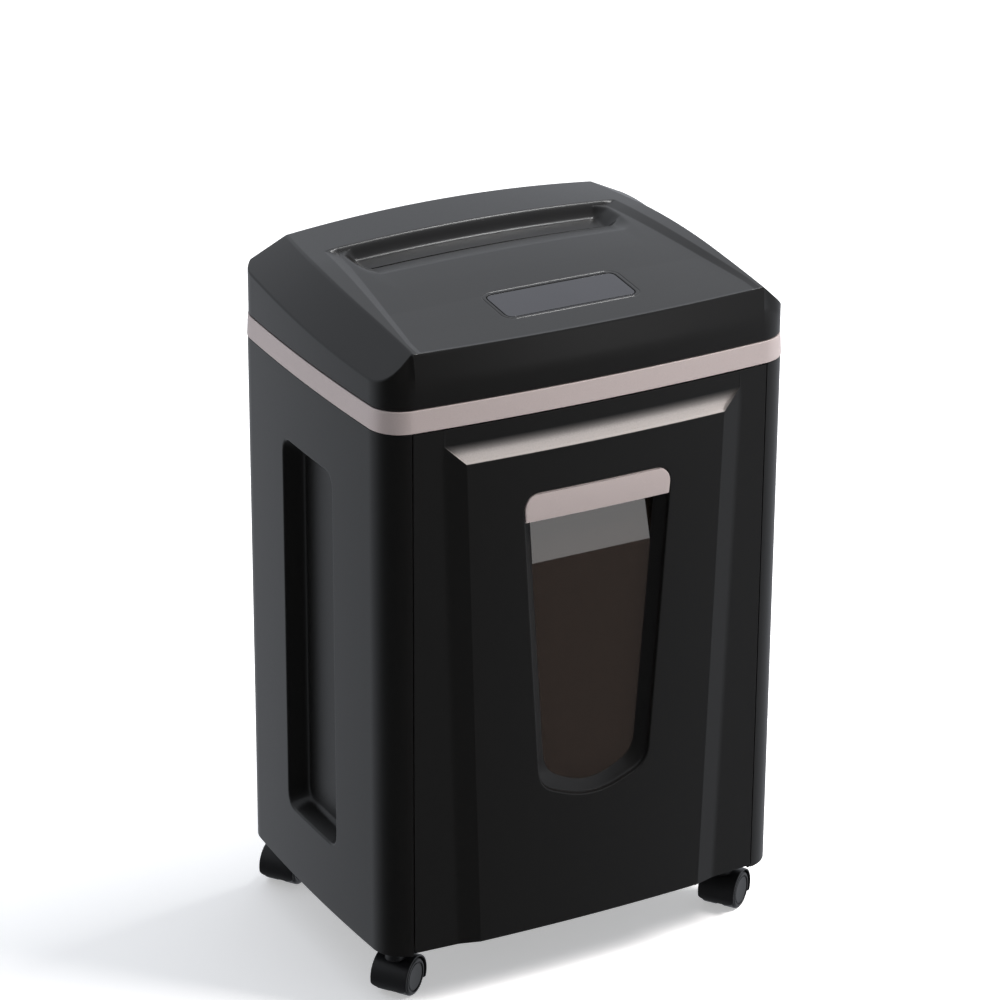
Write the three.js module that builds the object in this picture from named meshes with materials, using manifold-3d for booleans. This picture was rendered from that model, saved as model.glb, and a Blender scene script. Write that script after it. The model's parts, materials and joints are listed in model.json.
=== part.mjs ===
// Pull-out-bin paper shredder on four swivel casters.
//
// Frame: millimetres, +Z up, the front faces -Y, +X is on the right seen from the front.
// The origin lies on the floor, under the middle of the machine.

import * as THREE from 'three';
import { mergeVertices } from 'three/addons/utils/BufferGeometryUtils.js';
import Module from 'manifold-3d';

const wasm = await Module();
wasm.setup();

// ---------------------------------------------------------------- driving dimensions

const GAP = 0.3;                       // between pieces that touch on the real machine

const BODY = { width: 384.5, depth: 286, corner: 28.6, bowFront: 6.2, bowSide: 3, wall: 3 };
const FLOOR_TO_BODY = 58;              // underside of the side panels
const SEAM = { half: 164, gap: 1 };    // door opening and the gap round the door
const BAND = { bottom: 529, height: 19.3, flare: 1, wall: 4 };
const BAND_TOP = BAND.bottom + BAND.height;

const DECK = {                         // top of the cover, heights above the band's bottom edge
  frontY: -138, rearY: 124, crestY: 56,
  frontZ: 65, crestZ: 79.5, rearZ: 76, // height of the deck's side edges
  half: 161, narrowing: 16, narrowFrom: -50,
  crown: 11,                           // extra height along the middle, at the rear edge
  wallFront: 39, wallRise: 0.068,      // top of the upright side walls, and its rise per mm
  skin: 3.5,
};
const RAIL = { frontHalf: 160, taper: 0.106, facet: 10, sink: 3 };
const COVER_FRONT = { lean: 6, over: 44 };   // the front wall leans back by lean over this height
const COVER_REAR = { reach: 18, fall: 22 };  // the deck's rear bevel
const THROAT = { half: 112, endHalf: 119, slotFront: 42, slotRear: 48, slotDrop: 14, rearY: 75 };

const PANEL = {
  half: 59.5, front: -102, rear: -60, sunk: 0.4, thick: 1.5, pocket: 2.5, corner: 6,
  deckFront: 1.8, deckRear: 2.8,       // how far the deck is sunk at the panel's two ends
};

const DOOR = {
  bottom: 60, top: 528, skin: 3,
  raise: 4.3, raisedTopHalf: 119.4, raisedTaper: 0.0316, bevel: 18, lipZ: -32,
  scoop: 16.5,                         // height of the concave strip above the raised field
  scoopSpread: 17.4,                   // how far the strip's ends run outwards over that height
};
const WINDOW = { topHalf: 69, bottomHalf: 51.5, top: -70, bottom: -352.3, sag: 13, topR: 14 };
const LENS = { depth: 10.5, kneeZ: -130, backDepth: 25, thick: 2.5, overlap: 4, inset: 10 };
const HANDLE = { bottomZ: -95, thick: 3 };

const GRIP = {
  halfY: 45.8, centreY: -1.2, low: 123, high: 463, depth: 16, slope: 6, sill: 4, r: 10, wall: 2.5,
};

const BIN = { half: 152, front: -116, rear: 130, bottom: 69, top: 432, wall: 2.5 };

const TRAY = { half: 171.5, front: -108, rear: 127, bottom: 440, thick: 4, top: 526 };
const NIP = { y: 45, z: 530 };         // where the two rows of cutters meet
const CUTTER = { apart: 32, disc: 18, core: 11.5, journal: 6, count: 10, half: 114 };
const PLATE = { inner: 118, thick: 3, foot: TRAY.bottom + TRAY.thick + GAP, top: 560 };
const MOTOR = { y: -50, z: 486, radius: 30, inner: -4, outer: PLATE.inner - GAP, shaft: 4 };

const GEARS = {
  pinion: { teeth: 12, module: 1.75 },
  wheel: { teeth: 36, module: 1.75 },
  small: { teeth: 14, module: 2.25 },
  drive: { teeth: 30, module: 2.25 },
  sync: { teeth: 16, module: 2 },
};
const PRESSURE_ANGLE = 20 * Math.PI / 180;

const CASTER = {
  x: 161, frontY: -95, rearY: 124, swivel: -54.9 * Math.PI / 180,
  radius: 17, trail: 6, half: 17, hood: 19.6, hoodInner: 17.9, web: 2.6, sides: 16, stem: 4, boss: 10,
  bossFoot: 45,
};

// ---------------------------------------------------------------- finishes

function finish(color, roughness, metalness = 0) {
  return new THREE.MeshStandardMaterial({ color, roughness, metalness });
}
const blackPlastic = finish(0x1c1c1d, 0.45);
const darkPlastic = finish(0x232426, 0.55);
const casterPlastic = finish(0x141416, 0.4);
const silverPaint = finish(0xb4a9a6, 0.38, 0.3);
const glossPanel = finish(0x2c2c30, 0.12);
const smokedLens = finish(0x2f2826, 0.08);
const steel = finish(0x9a9ca0, 0.35, 0.9);
const hardenedSteel = finish(0x6f7276, 0.3, 0.9);
const nylon = finish(0xd8d4c4, 0.5);
const boardGreen = finish(0x1f5a36, 0.6);
const bronze = finish(0x9c7a3e, 0.4, 0.8);

// ---------------------------------------------------------------- solids

// A closed geometry as a manifold solid, turned the right way out.
function solid(geometry) {
  const bare = geometry.clone();
  bare.deleteAttribute('normal');
  bare.deleteAttribute('uv');
  const merged = mergeVertices(bare, 1e-4);
  const vertProperties = new Float32Array(merged.attributes.position.array);
  const triVerts = new Uint32Array(merged.index.array);
  if (signedVolume(vertProperties, triVerts) < 0) {
    for (let i = 0; i < triVerts.length; i += 3) {
      [triVerts[i], triVerts[i + 1]] = [triVerts[i + 1], triVerts[i]];
    }
  }
  return new wasm.Manifold(new wasm.Mesh({ numProp: 3, vertProperties, triVerts }));
}

function signedVolume(v, t) {
  let sum = 0;
  for (let i = 0; i < t.length; i += 3) {
    const [a, b, c] = [t[i] * 3, t[i + 1] * 3, t[i + 2] * 3];
    sum += v[a] * (v[b + 1] * v[c + 2] - v[b + 2] * v[c + 1])
      - v[a + 1] * (v[b] * v[c + 2] - v[b + 2] * v[c])
      + v[a + 2] * (v[b] * v[c + 1] - v[b + 1] * v[c]);
  }
  return sum / 6;
}

function geometryOf(body) {
  const mesh = body.getMesh();
  const geometry = new THREE.BufferGeometry();
  geometry.setAttribute('position', new THREE.BufferAttribute(new Float32Array(mesh.vertProperties), 3));
  geometry.setIndex(new THREE.BufferAttribute(new Uint32Array(mesh.triVerts), 1));
  geometry.computeVertexNormals();
  return geometry;
}

function shapeOf(points) {
  return new THREE.Shape(points.map(([x, y]) => new THREE.Vector2(x, y)));
}

// An outline carried straight up from z0 to z1.
function upright(points, z0, z1) {
  const g = new THREE.ExtrudeGeometry(shapeOf(points), { depth: z1 - z0, bevelEnabled: false, steps: 1 });
  g.translate(0, 0, z0);
  return solid(g);
}

// An outline of [x, z] points carried along Y.
function alongY(points, y0, y1) {
  const g = new THREE.ExtrudeGeometry(shapeOf(points), { depth: y1 - y0, bevelEnabled: false, steps: 1 });
  g.rotateX(Math.PI / 2);
  g.translate(0, y1, 0);
  return solid(g);
}

// An outline of [y, z] points carried along X.
function alongX(points, x0, x1) {
  const g = new THREE.ExtrudeGeometry(shapeOf(points), { depth: x1 - x0, bevelEnabled: false, steps: 1 });
  g.applyMatrix4(new THREE.Matrix4().makeBasis(
    new THREE.Vector3(0, 1, 0), new THREE.Vector3(0, 0, 1), new THREE.Vector3(1, 0, 0)));
  g.translate(x0, 0, 0);
  return solid(g);
}

function block(x0, x1, y0, y1, z0, z1) {
  const g = new THREE.BoxGeometry(x1 - x0, y1 - y0, z1 - z0);
  g.translate((x0 + x1) / 2, (y0 + y1) / 2, (z0 + z1) / 2);
  return solid(g);
}

// A round rod along X, from x0 to x1, on the axis through (y, z).
function rodX(x0, x1, y, z, radius, sides = 16) {
  const g = new THREE.CylinderGeometry(radius, radius, x1 - x0, sides);
  g.rotateZ(Math.PI / 2);
  g.translate((x0 + x1) / 2, y, z);
  return solid(g);
}

function rodZ(z0, z1, x, y, radius, sides = 16) {
  const g = new THREE.CylinderGeometry(radius, radius, z1 - z0, sides);
  g.rotateX(Math.PI / 2);
  g.translate(x, y, (z0 + z1) / 2);
  return solid(g);
}

// A profile of [radius, along] points turned about an axis along X through (y, z).
// half: turn the facets by half a step, so that a flat one faces down.
function turnedX(profile, y, z, sides, half = false) {
  const g = new THREE.LatheGeometry(profile.map(([r, t]) => new THREE.Vector2(r, t)), sides);
  g.rotateY(half ? Math.PI / sides : 0);
  g.rotateZ(-Math.PI / 2);
  g.translate(0, y, z);
  return solid(g);
}

// Rings of equally many points, joined in order, with a flat cap on each end ring.
// flat(point) gives the two coordinates in which the end rings are simple outlines.
function loft(rings, flat) {
  const count = rings[0].length;
  const positions = rings.flat(2);
  const index = [];
  for (let r = 0; r + 1 < rings.length; r++) {
    for (let i = 0; i < count; i++) {
      const [a, b] = [r * count + i, r * count + (i + 1) % count];
      index.push(a, b, a + count, b, b + count, a + count);
    }
  }
  const contour = rings[0].map((p) => new THREE.Vector2(...flat(p)));
  const last = (rings.length - 1) * count;
  for (const [a, b, c] of THREE.ShapeUtils.triangulateShape(contour, [])) {
    index.push(c, b, a);
    index.push(a + last, b + last, c + last);
  }
  return indexed(positions, index);
}

function indexed(positions, index) {
  const g = new THREE.BufferGeometry();
  g.setAttribute('position', new THREE.BufferAttribute(new Float32Array(positions), 3));
  g.setIndex(index);
  return solid(g);
}

// The solid between two grids of points with the same rows and columns.
function between(front, back) {
  const rows = front.length;
  const cols = front[0].length;
  const at = (side, r, c) => side * rows * cols + r * cols + c;
  const index = [];
  const quad = (a, b, c, d) => index.push(a, b, c, a, c, d);
  for (let r = 0; r + 1 < rows; r++) {
    for (let c = 0; c + 1 < cols; c++) {
      quad(at(0, r, c), at(0, r, c + 1), at(0, r + 1, c + 1), at(0, r + 1, c));
      quad(at(1, r, c), at(1, r + 1, c), at(1, r + 1, c + 1), at(1, r, c + 1));
    }
  }
  for (let c = 0; c + 1 < cols; c++) {
    quad(at(1, 0, c), at(1, 0, c + 1), at(0, 0, c + 1), at(0, 0, c));
    quad(at(0, rows - 1, c), at(0, rows - 1, c + 1), at(1, rows - 1, c + 1), at(1, rows - 1, c));
  }
  for (let r = 0; r + 1 < rows; r++) {
    quad(at(0, r, 0), at(0, r + 1, 0), at(1, r + 1, 0), at(1, r, 0));
    quad(at(1, r, cols - 1), at(1, r + 1, cols - 1), at(0, r + 1, cols - 1), at(0, r, cols - 1));
  }
  return indexed([front, back].flat(3), index);
}

// Points of an arc about (cx, cy), from angle a0 to a1 in degrees, ends included.
function arc(cx, cy, radius, a0, a1, steps) {
  return Array.from({ length: steps + 1 }, (_, i) => {
    const a = (a0 + (a1 - a0) * i / steps) * Math.PI / 180;
    return [cx + radius * Math.cos(a), cy + radius * Math.sin(a)];
  });
}

// ---------------------------------------------------------------- plan of the body

// Gently bowed rectangle with round corners, drawn in by inset, counter-clockwise from above.
function plan(inset, spread = 0) {
  const hx = BODY.width / 2 + spread - inset;
  const hy = BODY.depth / 2 + spread - inset;
  const radius = BODY.corner - inset;
  const cx = hx - BODY.bowSide - radius;
  const cy = hy - BODY.bowFront - radius;
  const bow = (half, reach, sag, steps) => Array.from({ length: steps - 1 }, (_, i) => {
    const t = -1 + 2 * (i + 1) / steps;
    return [t * half, reach - sag * t * t];
  });
  const front = bow(cx, hy, BODY.bowFront, 6).map(([t, d]) => [t, -d]);
  const right = bow(cy, hx, BODY.bowSide, 4).map(([t, d]) => [d, t]);
  const rear = bow(cx, hy, BODY.bowFront, 6).map(([t, d]) => [-t, d]);
  const left = bow(cy, hx, BODY.bowSide, 4).map(([t, d]) => [-d, -t]);
  return [
    ...front, ...arc(cx, -cy, radius, -86, -4, 5),
    ...right, ...arc(cx, cy, radius, 4, 86, 5),
    ...rear, ...arc(-cx, cy, radius, 94, 176, 5),
    ...left, ...arc(-cx, -cy, radius, 184, 266, 5),
  ];
}

// How far the front or rear face has fallen back from its middle at x.
function bowAt(x) {
  const reach = BODY.width / 2 - BODY.bowSide - BODY.corner;
  return BODY.bowFront * (x / reach) ** 2;
}

// ---------------------------------------------------------------- scene

const shredder = new THREE.Group();

function group(parent, x = 0, y = 0, z = 0) {
  const g = new THREE.Group();
  g.position.set(x, y, z);
  parent.add(g);
  return g;
}

function piece(parent, name, body, material) {
  const mesh = new THREE.Mesh(geometryOf(body), material);
  mesh.name = name;
  parent.add(mesh);
  return mesh;
}

// ---------------------------------------------------------------- cabinet

// The pocket's outline at a given reach from the middle, drawn in by inset on every side.
function gripRing(x, inset, lowExtra = 0) {
  const { halfY, centreY, low, high, r } = GRIP;
  const radius = Math.max(r - inset, 3);
  const [y0, y1] = [centreY - halfY + inset, centreY + halfY - inset];
  const [z0, z1] = [low + inset + lowExtra, high - inset];
  return [
    ...arc(y1 - radius, z0 + radius, radius, -90, 0, 3),
    ...arc(y1 - radius, z1 - radius, radius, 0, 90, 3),
    ...arc(y0 + radius, z1 - radius, radius, 90, 180, 3),
    ...arc(y0 + radius, z0 + radius, radius, 180, 270, 3),
  ].map(([y, z]) => [x, y, z]);
}

function sidePanel() {
  const outerX = BODY.width / 2;
  const ring = upright(plan(0), FLOOR_TO_BODY, BAND.bottom)
    .subtract(upright(plan(BODY.wall), FLOOR_TO_BODY - 1, BAND.bottom + 1))
    .intersect(block(SEAM.half + GAP / 2, outerX + 1, -BODY.depth, BODY.depth, 0, 600));
  const flat = ([, y, z]) => [y, z];
  const floorX = outerX - 1 - GRIP.depth;
  const pocketBack = loft([
    gripRing(outerX - 2.6, -GRIP.wall),
    gripRing(floorX - GRIP.wall, GRIP.slope - GRIP.wall),
  ], flat);
  const pocket = loft([
    gripRing(outerX + 2, 0),
    gripRing(outerX - 1, 0),
    gripRing(floorX, GRIP.slope, GRIP.sill),
  ], flat);
  return ring.add(pocketBack).subtract(pocket);
}

function mirrored(body) {
  const g = geometryOf(body);
  g.scale(-1, 1, 1);
  return solid(g);
}

const cabinet = group(shredder);
const rightSide = sidePanel();
piece(cabinet, 'right_side_panel', rightSide, blackPlastic);
piece(cabinet, 'left_side_panel', mirrored(rightSide), blackPlastic);

const INLET = { x: 96, z: 492, halfX: 15, halfZ: 12, out: 147.3, wall: 2.5 };
const SWITCH = { x: 54, z: 492, halfX: 12, halfZ: 9, out: 145.5, wall: 1.5, tilt: 8 };

function rearPanel() {
  const cut = (p, room) => block(p.x - p.halfX - room, p.x + p.halfX + room, 120, 160,
    p.z - p.halfZ - room, p.z + p.halfZ + room);
  return upright(plan(0), FLOOR_TO_BODY, BAND.bottom)
    .subtract(upright(plan(BODY.wall), FLOOR_TO_BODY - 1, BAND.bottom + 1))
    .intersect(block(-SEAM.half + GAP, SEAM.half - GAP, 50, BODY.depth, 0, 600))
    .subtract(cut(INLET, GAP))
    .subtract(cut(SWITCH, GAP));
}
piece(cabinet, 'rear_panel', rearPanel(), blackPlastic);

const CASTER_PLACES = [['front_left', -CASTER.x, CASTER.frontY], ['front_right', CASTER.x, CASTER.frontY],
  ['rear_right', CASTER.x, CASTER.rearY], ['rear_left', -CASTER.x, CASTER.rearY]];
const BASE = { front: -126, thick: 6 };
function basePlate() {
  let plate = upright(plan(BODY.wall + GAP), DOOR.bottom, DOOR.bottom + BASE.thick)
    .intersect(block(-BODY.width, BODY.width, BASE.front, BODY.depth, 0, BAND.bottom));
  const within = upright(plan(BODY.wall + GAP), CASTER.bossFoot, DOOR.bottom + 1);
  for (const [, x, y] of CASTER_PLACES) {
    plate = plate.add(rodZ(CASTER.bossFoot, DOOR.bottom + 1, x, y, CASTER.boss).intersect(within))
      .subtract(rodZ(CASTER.bossFoot - 1, DOOR.bottom + BASE.thick + 1, x, y, CASTER.stem + 0.5));
  }
  return plate;
}
piece(cabinet, 'base_plate', basePlate(), darkPlastic);

// A rail of the drawer: a shelf under the bin's edge and a low wall that guides its side.
function runner(side) {
  const [shelf, wall, top] = [BIN.half - 11, BIN.half + 2, BIN.bottom + 15];
  const z0 = DOOR.bottom + BASE.thick + GAP;
  const points = [[shelf, z0], [wall + 3, z0], [wall + 3, top], [wall, top],
    [wall, BIN.bottom - GAP], [shelf, BIN.bottom - GAP]].map(([x, z]) => [side * x, z]);
  return alongY(points, BIN.front + 4, BIN.rear - 6);
}
piece(cabinet, 'left_runner', runner(-1), darkPlastic);
piece(cabinet, 'right_runner', runner(1), darkPlastic);

// ---------------------------------------------------------------- silver band and top cover

function trimBand() {
  const ring = (inset, spread, z) => plan(inset, spread).map(([x, y]) => [x, y, z]);
  const flat = ([x, y]) => [x, y];
  const [z0, z1] = [BAND.bottom + GAP, BAND_TOP];
  return loft([ring(0, BAND.flare * 0.5, z0), ring(0, -BAND.flare * 0.5, z1)], flat)
    .subtract(loft([ring(BAND.wall, 0, z0 - 1), ring(BAND.wall, 0, z1 + 1)], flat));
}
piece(cabinet, 'trim_band', trimBand(), silverPaint);

// Height of the deck's side edge at y: it climbs to the crest and falls a little behind it.
function edgeHeight(y) {
  const { frontY, rearY, crestY, frontZ, crestZ, rearZ } = DECK;
  return y < crestY
    ? crestZ - (crestZ - frontZ) * ((crestY - y) / (crestY - frontY)) ** 1.6
    : crestZ - (crestZ - rearZ) * ((y - crestY) / (rearY - crestY)) ** 2;
}

function edgeHalf(y) {
  const back = Math.max(0, (y - DECK.narrowFrom) / (DECK.rearY - DECK.narrowFrom));
  return DECK.half - DECK.narrowing * back * back;
}

function railHalf(y) {
  return RAIL.frontHalf - RAIL.taper * (y - DECK.frontY);
}

function deckHeight(x, y) {
  const crown = DECK.crown * (y - DECK.frontY) / (DECK.rearY - DECK.frontY);
  return BAND.bottom + edgeHeight(y) + crown * (1 - Math.min(1, (x / edgeHalf(y)) ** 2));
}

// Rows of the deck: [y, how far the middle is sunk below the deck's own arch].
const DECK_ROWS = [
  [DECK.frontY, 0.8], [PANEL.front, PANEL.deckFront], [PANEL.rear, PANEL.deckRear], [-20, 3],
  [14, 3.4], [36, 8.5],
  [THROAT.slotFront, THROAT.slotDrop], [THROAT.slotRear, THROAT.slotDrop],
  [57, 12], [66, 11], [THROAT.rearY, 0], [100, 0], [DECK.rearY, 0],
];

function deckColumns(y, sunk) {
  const rail = railHalf(y);
  const foot = rail - RAIL.facet;
  const edge = edgeHalf(y);
  const shallow = Math.min(sunk, RAIL.sink);
  const right = [[PANEL.half, sunk], [THROAT.half, sunk], [THROAT.endHalf, (sunk + shallow) / 2],
    [foot, shallow], [rail, 0], [edge, 0]];
  return [...right.slice().reverse().map(([x, d]) => [-x, d]), [0, sunk], ...right];
}

// The deck and its bevels, lowered by a given amount, over a flat floor. It reaches past the side walls.
function coverBlock(lowered, floor) {
  const wallX = BODY.width / 2 - 1;
  const outX = wallX + 12;
  const top = [];
  const row = (y, sunk) => {
    const edge = edgeHalf(y);
    const wallTop = DECK.wallFront + DECK.wallRise * (y - DECK.frontY);
    const slope = (edgeHeight(y) - wallTop) / (wallX - edge);
    const outZ = BAND.bottom + wallTop - slope * (outX - wallX) - lowered;
    const deck = deckColumns(y, sunk).map(([x, d]) => [x, y, deckHeight(x, y) - d - lowered]);
    top.push([[-outX, y, outZ], ...deck, [outX, y, outZ]]);
  };
  DECK_ROWS.forEach(([y, sunk]) => row(y, sunk));
  const [first, last] = [top[0], top[top.length - 1]];
  top.unshift(first.map(([x, , z]) => [x, DECK.frontY - COVER_FRONT.lean, z - COVER_FRONT.over]));
  top.push(last.map(([x, , z]) => [x, DECK.rearY + COVER_REAR.reach, z - COVER_REAR.fall]));
  const bottom = top.map((r) => r.map(([x, y]) => [x, y, floor]));
  return between(top, bottom);
}

function topCover() {
  const [z0, high] = [BAND_TOP + GAP, 640];
  const outside = coverBlock(0, z0 - 30).intersect(upright(plan(1), z0, high));
  const inside = coverBlock(DECK.skin, z0 - 40).intersect(upright(plan(1 + BODY.wall), z0 - 20, high));
  const slot = block(-THROAT.half, THROAT.half, THROAT.slotFront, THROAT.slotRear, z0, high);
  return outside.subtract(inside).subtract(slot).subtract(panelSlab(PANEL.pocket, 6, 0));
}

// A slab with the control panel's outline drawn in by inset, from low under the deck to high above it.
function panelSlab(low, high, inset) {
  const rows = [[PANEL.front, PANEL.deckFront], [PANEL.rear, PANEL.deckRear]];
  const half = PANEL.half;
  const grid = (offset) => rows.map(([y, sunk]) => [-half, 0, half].map(
    (x) => [x, y, deckHeight(x, y) - sunk + offset]));
  const [x1, y0, y1, r] = [half - inset, PANEL.front + inset, PANEL.rear - inset, PANEL.corner];
  const outline = [
    ...arc(x1 - r, y0 + r, r, -90, 0, 3), ...arc(x1 - r, y1 - r, r, 0, 90, 3),
    ...arc(-x1 + r, y1 - r, r, 90, 180, 3), ...arc(-x1 + r, y0 + r, r, 180, 270, 3),
  ];
  return between(grid(high), grid(-low)).intersect(upright(outline, BAND.bottom, 640));
}
piece(cabinet, 'top_cover', topCover(), blackPlastic);
piece(cabinet, 'control_panel', panelSlab(PANEL.sunk + PANEL.thick, -PANEL.sunk, GAP), glossPanel);

// ---------------------------------------------------------------- head: tray, cutters, drive

const head = group(cabinet);

function headTray() {
  const { half, front, rear, bottom, thick, top } = TRAY;
  const section = [[-half, bottom], [half, bottom], [half, top], [half - 3, top],
    [half - 3, bottom + thick], [-half + 3, bottom + thick], [-half + 3, top], [-half, top]];
  return alongY(section, front, rear)
    .subtract(block(-THROAT.half, THROAT.half, NIP.y - 35, NIP.y + 35, bottom - 1, bottom + thick + 1));
}
piece(head, 'head_tray', headTray(), darkPlastic);

function feedGuide() {
  const [z0, z1] = [NIP.z + CUTTER.disc + 5, 588];
  const { half, slotFront, slotRear } = THROAT;
  return block(-half - 3, half + 3, slotFront - 3, slotRear + 3, z0, z1)
    .subtract(block(-half, half, slotFront, slotRear, z0 - 1, z1 + 1));
}
piece(head, 'feed_guide', feedGuide(), darkPlastic);
const SENSOR = { half: 9, front: THROAT.slotRear + 3 + GAP, rear: THROAT.slotRear + 14, low: 562, high: 574 };
piece(head, 'paper_sensor', block(-SENSOR.half, SENSOR.half, SENSOR.front, SENSOR.rear,
  SENSOR.low, SENSOR.high), darkPlastic);

const SHAFT_Y = { front: NIP.y - CUTTER.apart / 2, rear: NIP.y + CUTTER.apart / 2 };
const DRIVE_AXIS = [SHAFT_Y.front, NIP.z];
const MOTOR_AXIS = [MOTOR.y, MOTOR.z];

function pitchRadius({ teeth, module }) {
  return teeth * module / 2;
}

// The intermediate axle stands where both of its gears reach their mates.
function intermediateAxis() {
  const toMotor = pitchRadius(GEARS.pinion) + pitchRadius(GEARS.wheel);
  const toDrive = pitchRadius(GEARS.small) + pitchRadius(GEARS.drive);
  const [dy, dz] = [DRIVE_AXIS[0] - MOTOR_AXIS[0], DRIVE_AXIS[1] - MOTOR_AXIS[1]];
  const apart = Math.hypot(dy, dz);
  const along = (apart ** 2 + toMotor ** 2 - toDrive ** 2) / (2 * apart);
  const aside = Math.sqrt(toMotor ** 2 - along ** 2);
  return [
    MOTOR_AXIS[0] + (dy * along - dz * aside) / apart,
    MOTOR_AXIS[1] + (dz * along + dy * aside) / apart,
  ];
}
const IDLER_AXIS = intermediateAxis();

function plateWithHoles(x0, x1, outline, holes) {
  return holes.reduce(
    (plate, [y, z, r]) => plate.subtract(rodX(x0 - 1, x1 + 1, y, z, r, 20)),
    alongX(outline, x0, x1));
}

const BUSH = { outer: 10, inner: CUTTER.journal + 0.3 };
const SHAFT_HOLES = [[SHAFT_Y.front, NIP.z, BUSH.outer + GAP], [SHAFT_Y.rear, NIP.z, BUSH.outer + GAP]];
const TIE = { radius: 3.5, y: [-2, 92], z: 462 };
const TIE_HOLES = TIE.y.map((y) => [y, TIE.z, TIE.radius + GAP]);

piece(head, 'left_cutter_plate', plateWithHoles(
  -PLATE.inner - PLATE.thick, -PLATE.inner,
  [[-12, PLATE.foot], [100, PLATE.foot], [100, 520], [82, PLATE.top], [8, PLATE.top], [-12, 520]],
  [...SHAFT_HOLES, ...TIE_HOLES]), steel);
piece(head, 'right_cutter_plate', plateWithHoles(
  PLATE.inner, PLATE.inner + PLATE.thick,
  [[-88, PLATE.foot], [100, PLATE.foot], [100, 520], [82, PLATE.top], [-30, PLATE.top], [-88, 515]],
  [...SHAFT_HOLES, ...TIE_HOLES, [...MOTOR_AXIS, MOTOR.shaft + 2]]), steel);

TIE.y.forEach((y, i) => {
  const reach = PLATE.inner + PLATE.thick + 1;
  piece(head, ['front_tie_rod', 'rear_tie_rod'][i], rodX(-reach, reach, y, TIE.z, TIE.radius, 10), steel);
});

// A cutting roller: hardened discs with gaps between them for the discs of the other roller.
function cutterShaft(axisY, shift, leftEnd, rightEnd) {
  const { disc, core, journal, count, half } = CUTTER;
  const pitch = 2 * half / count;
  const width = pitch / 2 - 0.5;
  const profile = [[0, leftEnd], [journal, leftEnd], [journal, -half - 2], [core, -half - 2]];
  for (let i = 0; i < count; i++) {
    const x = -half + pitch * (i + 0.25 + shift);
    profile.push([core, x - width / 2], [disc, x - width / 2], [disc, x + width / 2], [core, x + width / 2]);
  }
  profile.push([core, half + 2], [journal, half + 2], [journal, rightEnd], [0, rightEnd]);
  return turnedX(profile, axisY, NIP.z, 14);
}

// A spur gear along X, with involute flanks drawn through root, pitch and tip circles.
// pointing: the angle in the YZ plane, from +Y towards +Z, at which one tooth (or gap) is centred.
function gear({ teeth, module }, x0, x1, [y, z], bore, pointing, gapThere = false) {
  const pitchR = teeth * module / 2;
  const baseR = pitchR * Math.cos(PRESSURE_ANGLE);
  const involute = (a) => Math.tan(a) - a;
  const backlash = 0.9;
  const halfTooth = (r) => Math.PI / 2 / teeth * backlash + involute(PRESSURE_ANGLE)
    - involute(Math.acos(Math.min(1, baseR / Math.max(r, baseR))));
  const radii = [pitchR - 1.15 * module, pitchR, pitchR + 0.85 * module];
  const turn = 2 * Math.PI / teeth;
  const start = pointing + (gapThere ? turn / 2 : 0);
  const points = [];
  for (let t = 0; t < teeth; t++) {
    const middle = start + t * turn;
    radii.forEach((r) => points.push([r, middle - halfTooth(r)]));
    [...radii].reverse().forEach((r) => points.push([r, middle + halfTooth(r)]));
  }
  const outline = points.map(([r, a]) => [y + r * Math.cos(a), z + r * Math.sin(a)]);
  return alongX(outline, x0, x1).subtract(rodX(x0 - 1, x1 + 1, y, z, bore, 12));
}

function direction([y0, z0], [y1, z1]) {
  return Math.atan2(z1 - z0, y1 - y0);
}

const SHAFT_BORE = CUTTER.journal + GAP;
const SYNC = { x0: -134, x1: -124 };
const OUTER_PLATE = { x0: 148, x1: 150 };

piece(head, 'front_cutter_shaft', cutterShaft(SHAFT_Y.front, 0, SYNC.x0, OUTER_PLATE.x1), hardenedSteel);
piece(head, 'rear_cutter_shaft', cutterShaft(SHAFT_Y.rear, 0.5, SYNC.x0, PLATE.inner + 5), hardenedSteel);
for (const [where, y] of Object.entries(SHAFT_Y)) {
  for (const [side, x] of [['left', -PLATE.inner - PLATE.thick], ['right', PLATE.inner]]) {
    const bush = rodX(x, x + PLATE.thick, y, NIP.z, BUSH.outer, 14)
      .subtract(rodX(x - 1, x + PLATE.thick + 1, y, NIP.z, BUSH.inner, 14));
    piece(head, `${where}_${side}_bush`, bush, bronze);
  }
}
piece(head, 'front_sync_gear', gear(GEARS.sync, SYNC.x0, SYNC.x1, DRIVE_AXIS, SHAFT_BORE, 0), steel);
piece(head, 'rear_sync_gear', gear(GEARS.sync, SYNC.x0, SYNC.x1, [SHAFT_Y.rear, NIP.z], SHAFT_BORE,
  Math.PI, true), steel);

const driveToIdler = direction(DRIVE_AXIS, IDLER_AXIS);
const idlerToMotor = direction(IDLER_AXIS, MOTOR_AXIS);
piece(head, 'drive_gear', gear(GEARS.drive, 136, 144, DRIVE_AXIS, SHAFT_BORE, driveToIdler), steel);
const IDLER_BORE = 4;
const compound = gear(GEARS.wheel, 124.5, 133, IDLER_AXIS, IDLER_BORE, idlerToMotor)
  .add(gear(GEARS.small, 132.5, 145, IDLER_AXIS, IDLER_BORE, driveToIdler + Math.PI, true));
piece(head, 'intermediate_gear', compound, nylon);
piece(head, 'intermediate_axle', rodX(PLATE.inner + PLATE.thick + GAP, OUTER_PLATE.x0 - GAP,
  ...IDLER_AXIS, IDLER_BORE - 0.35, 12), steel);
piece(head, 'gear_end_plate', plateWithHoles(OUTER_PLATE.x0, OUTER_PLATE.x1,
  [[-62, PLATE.foot], [62, PLATE.foot], [62, 548], [46, 560], [-30, 560], [-62, 520]],
  [[...DRIVE_AXIS, SHAFT_BORE + 0.2]]), steel);

// ---------------------------------------------------------------- motor

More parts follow.
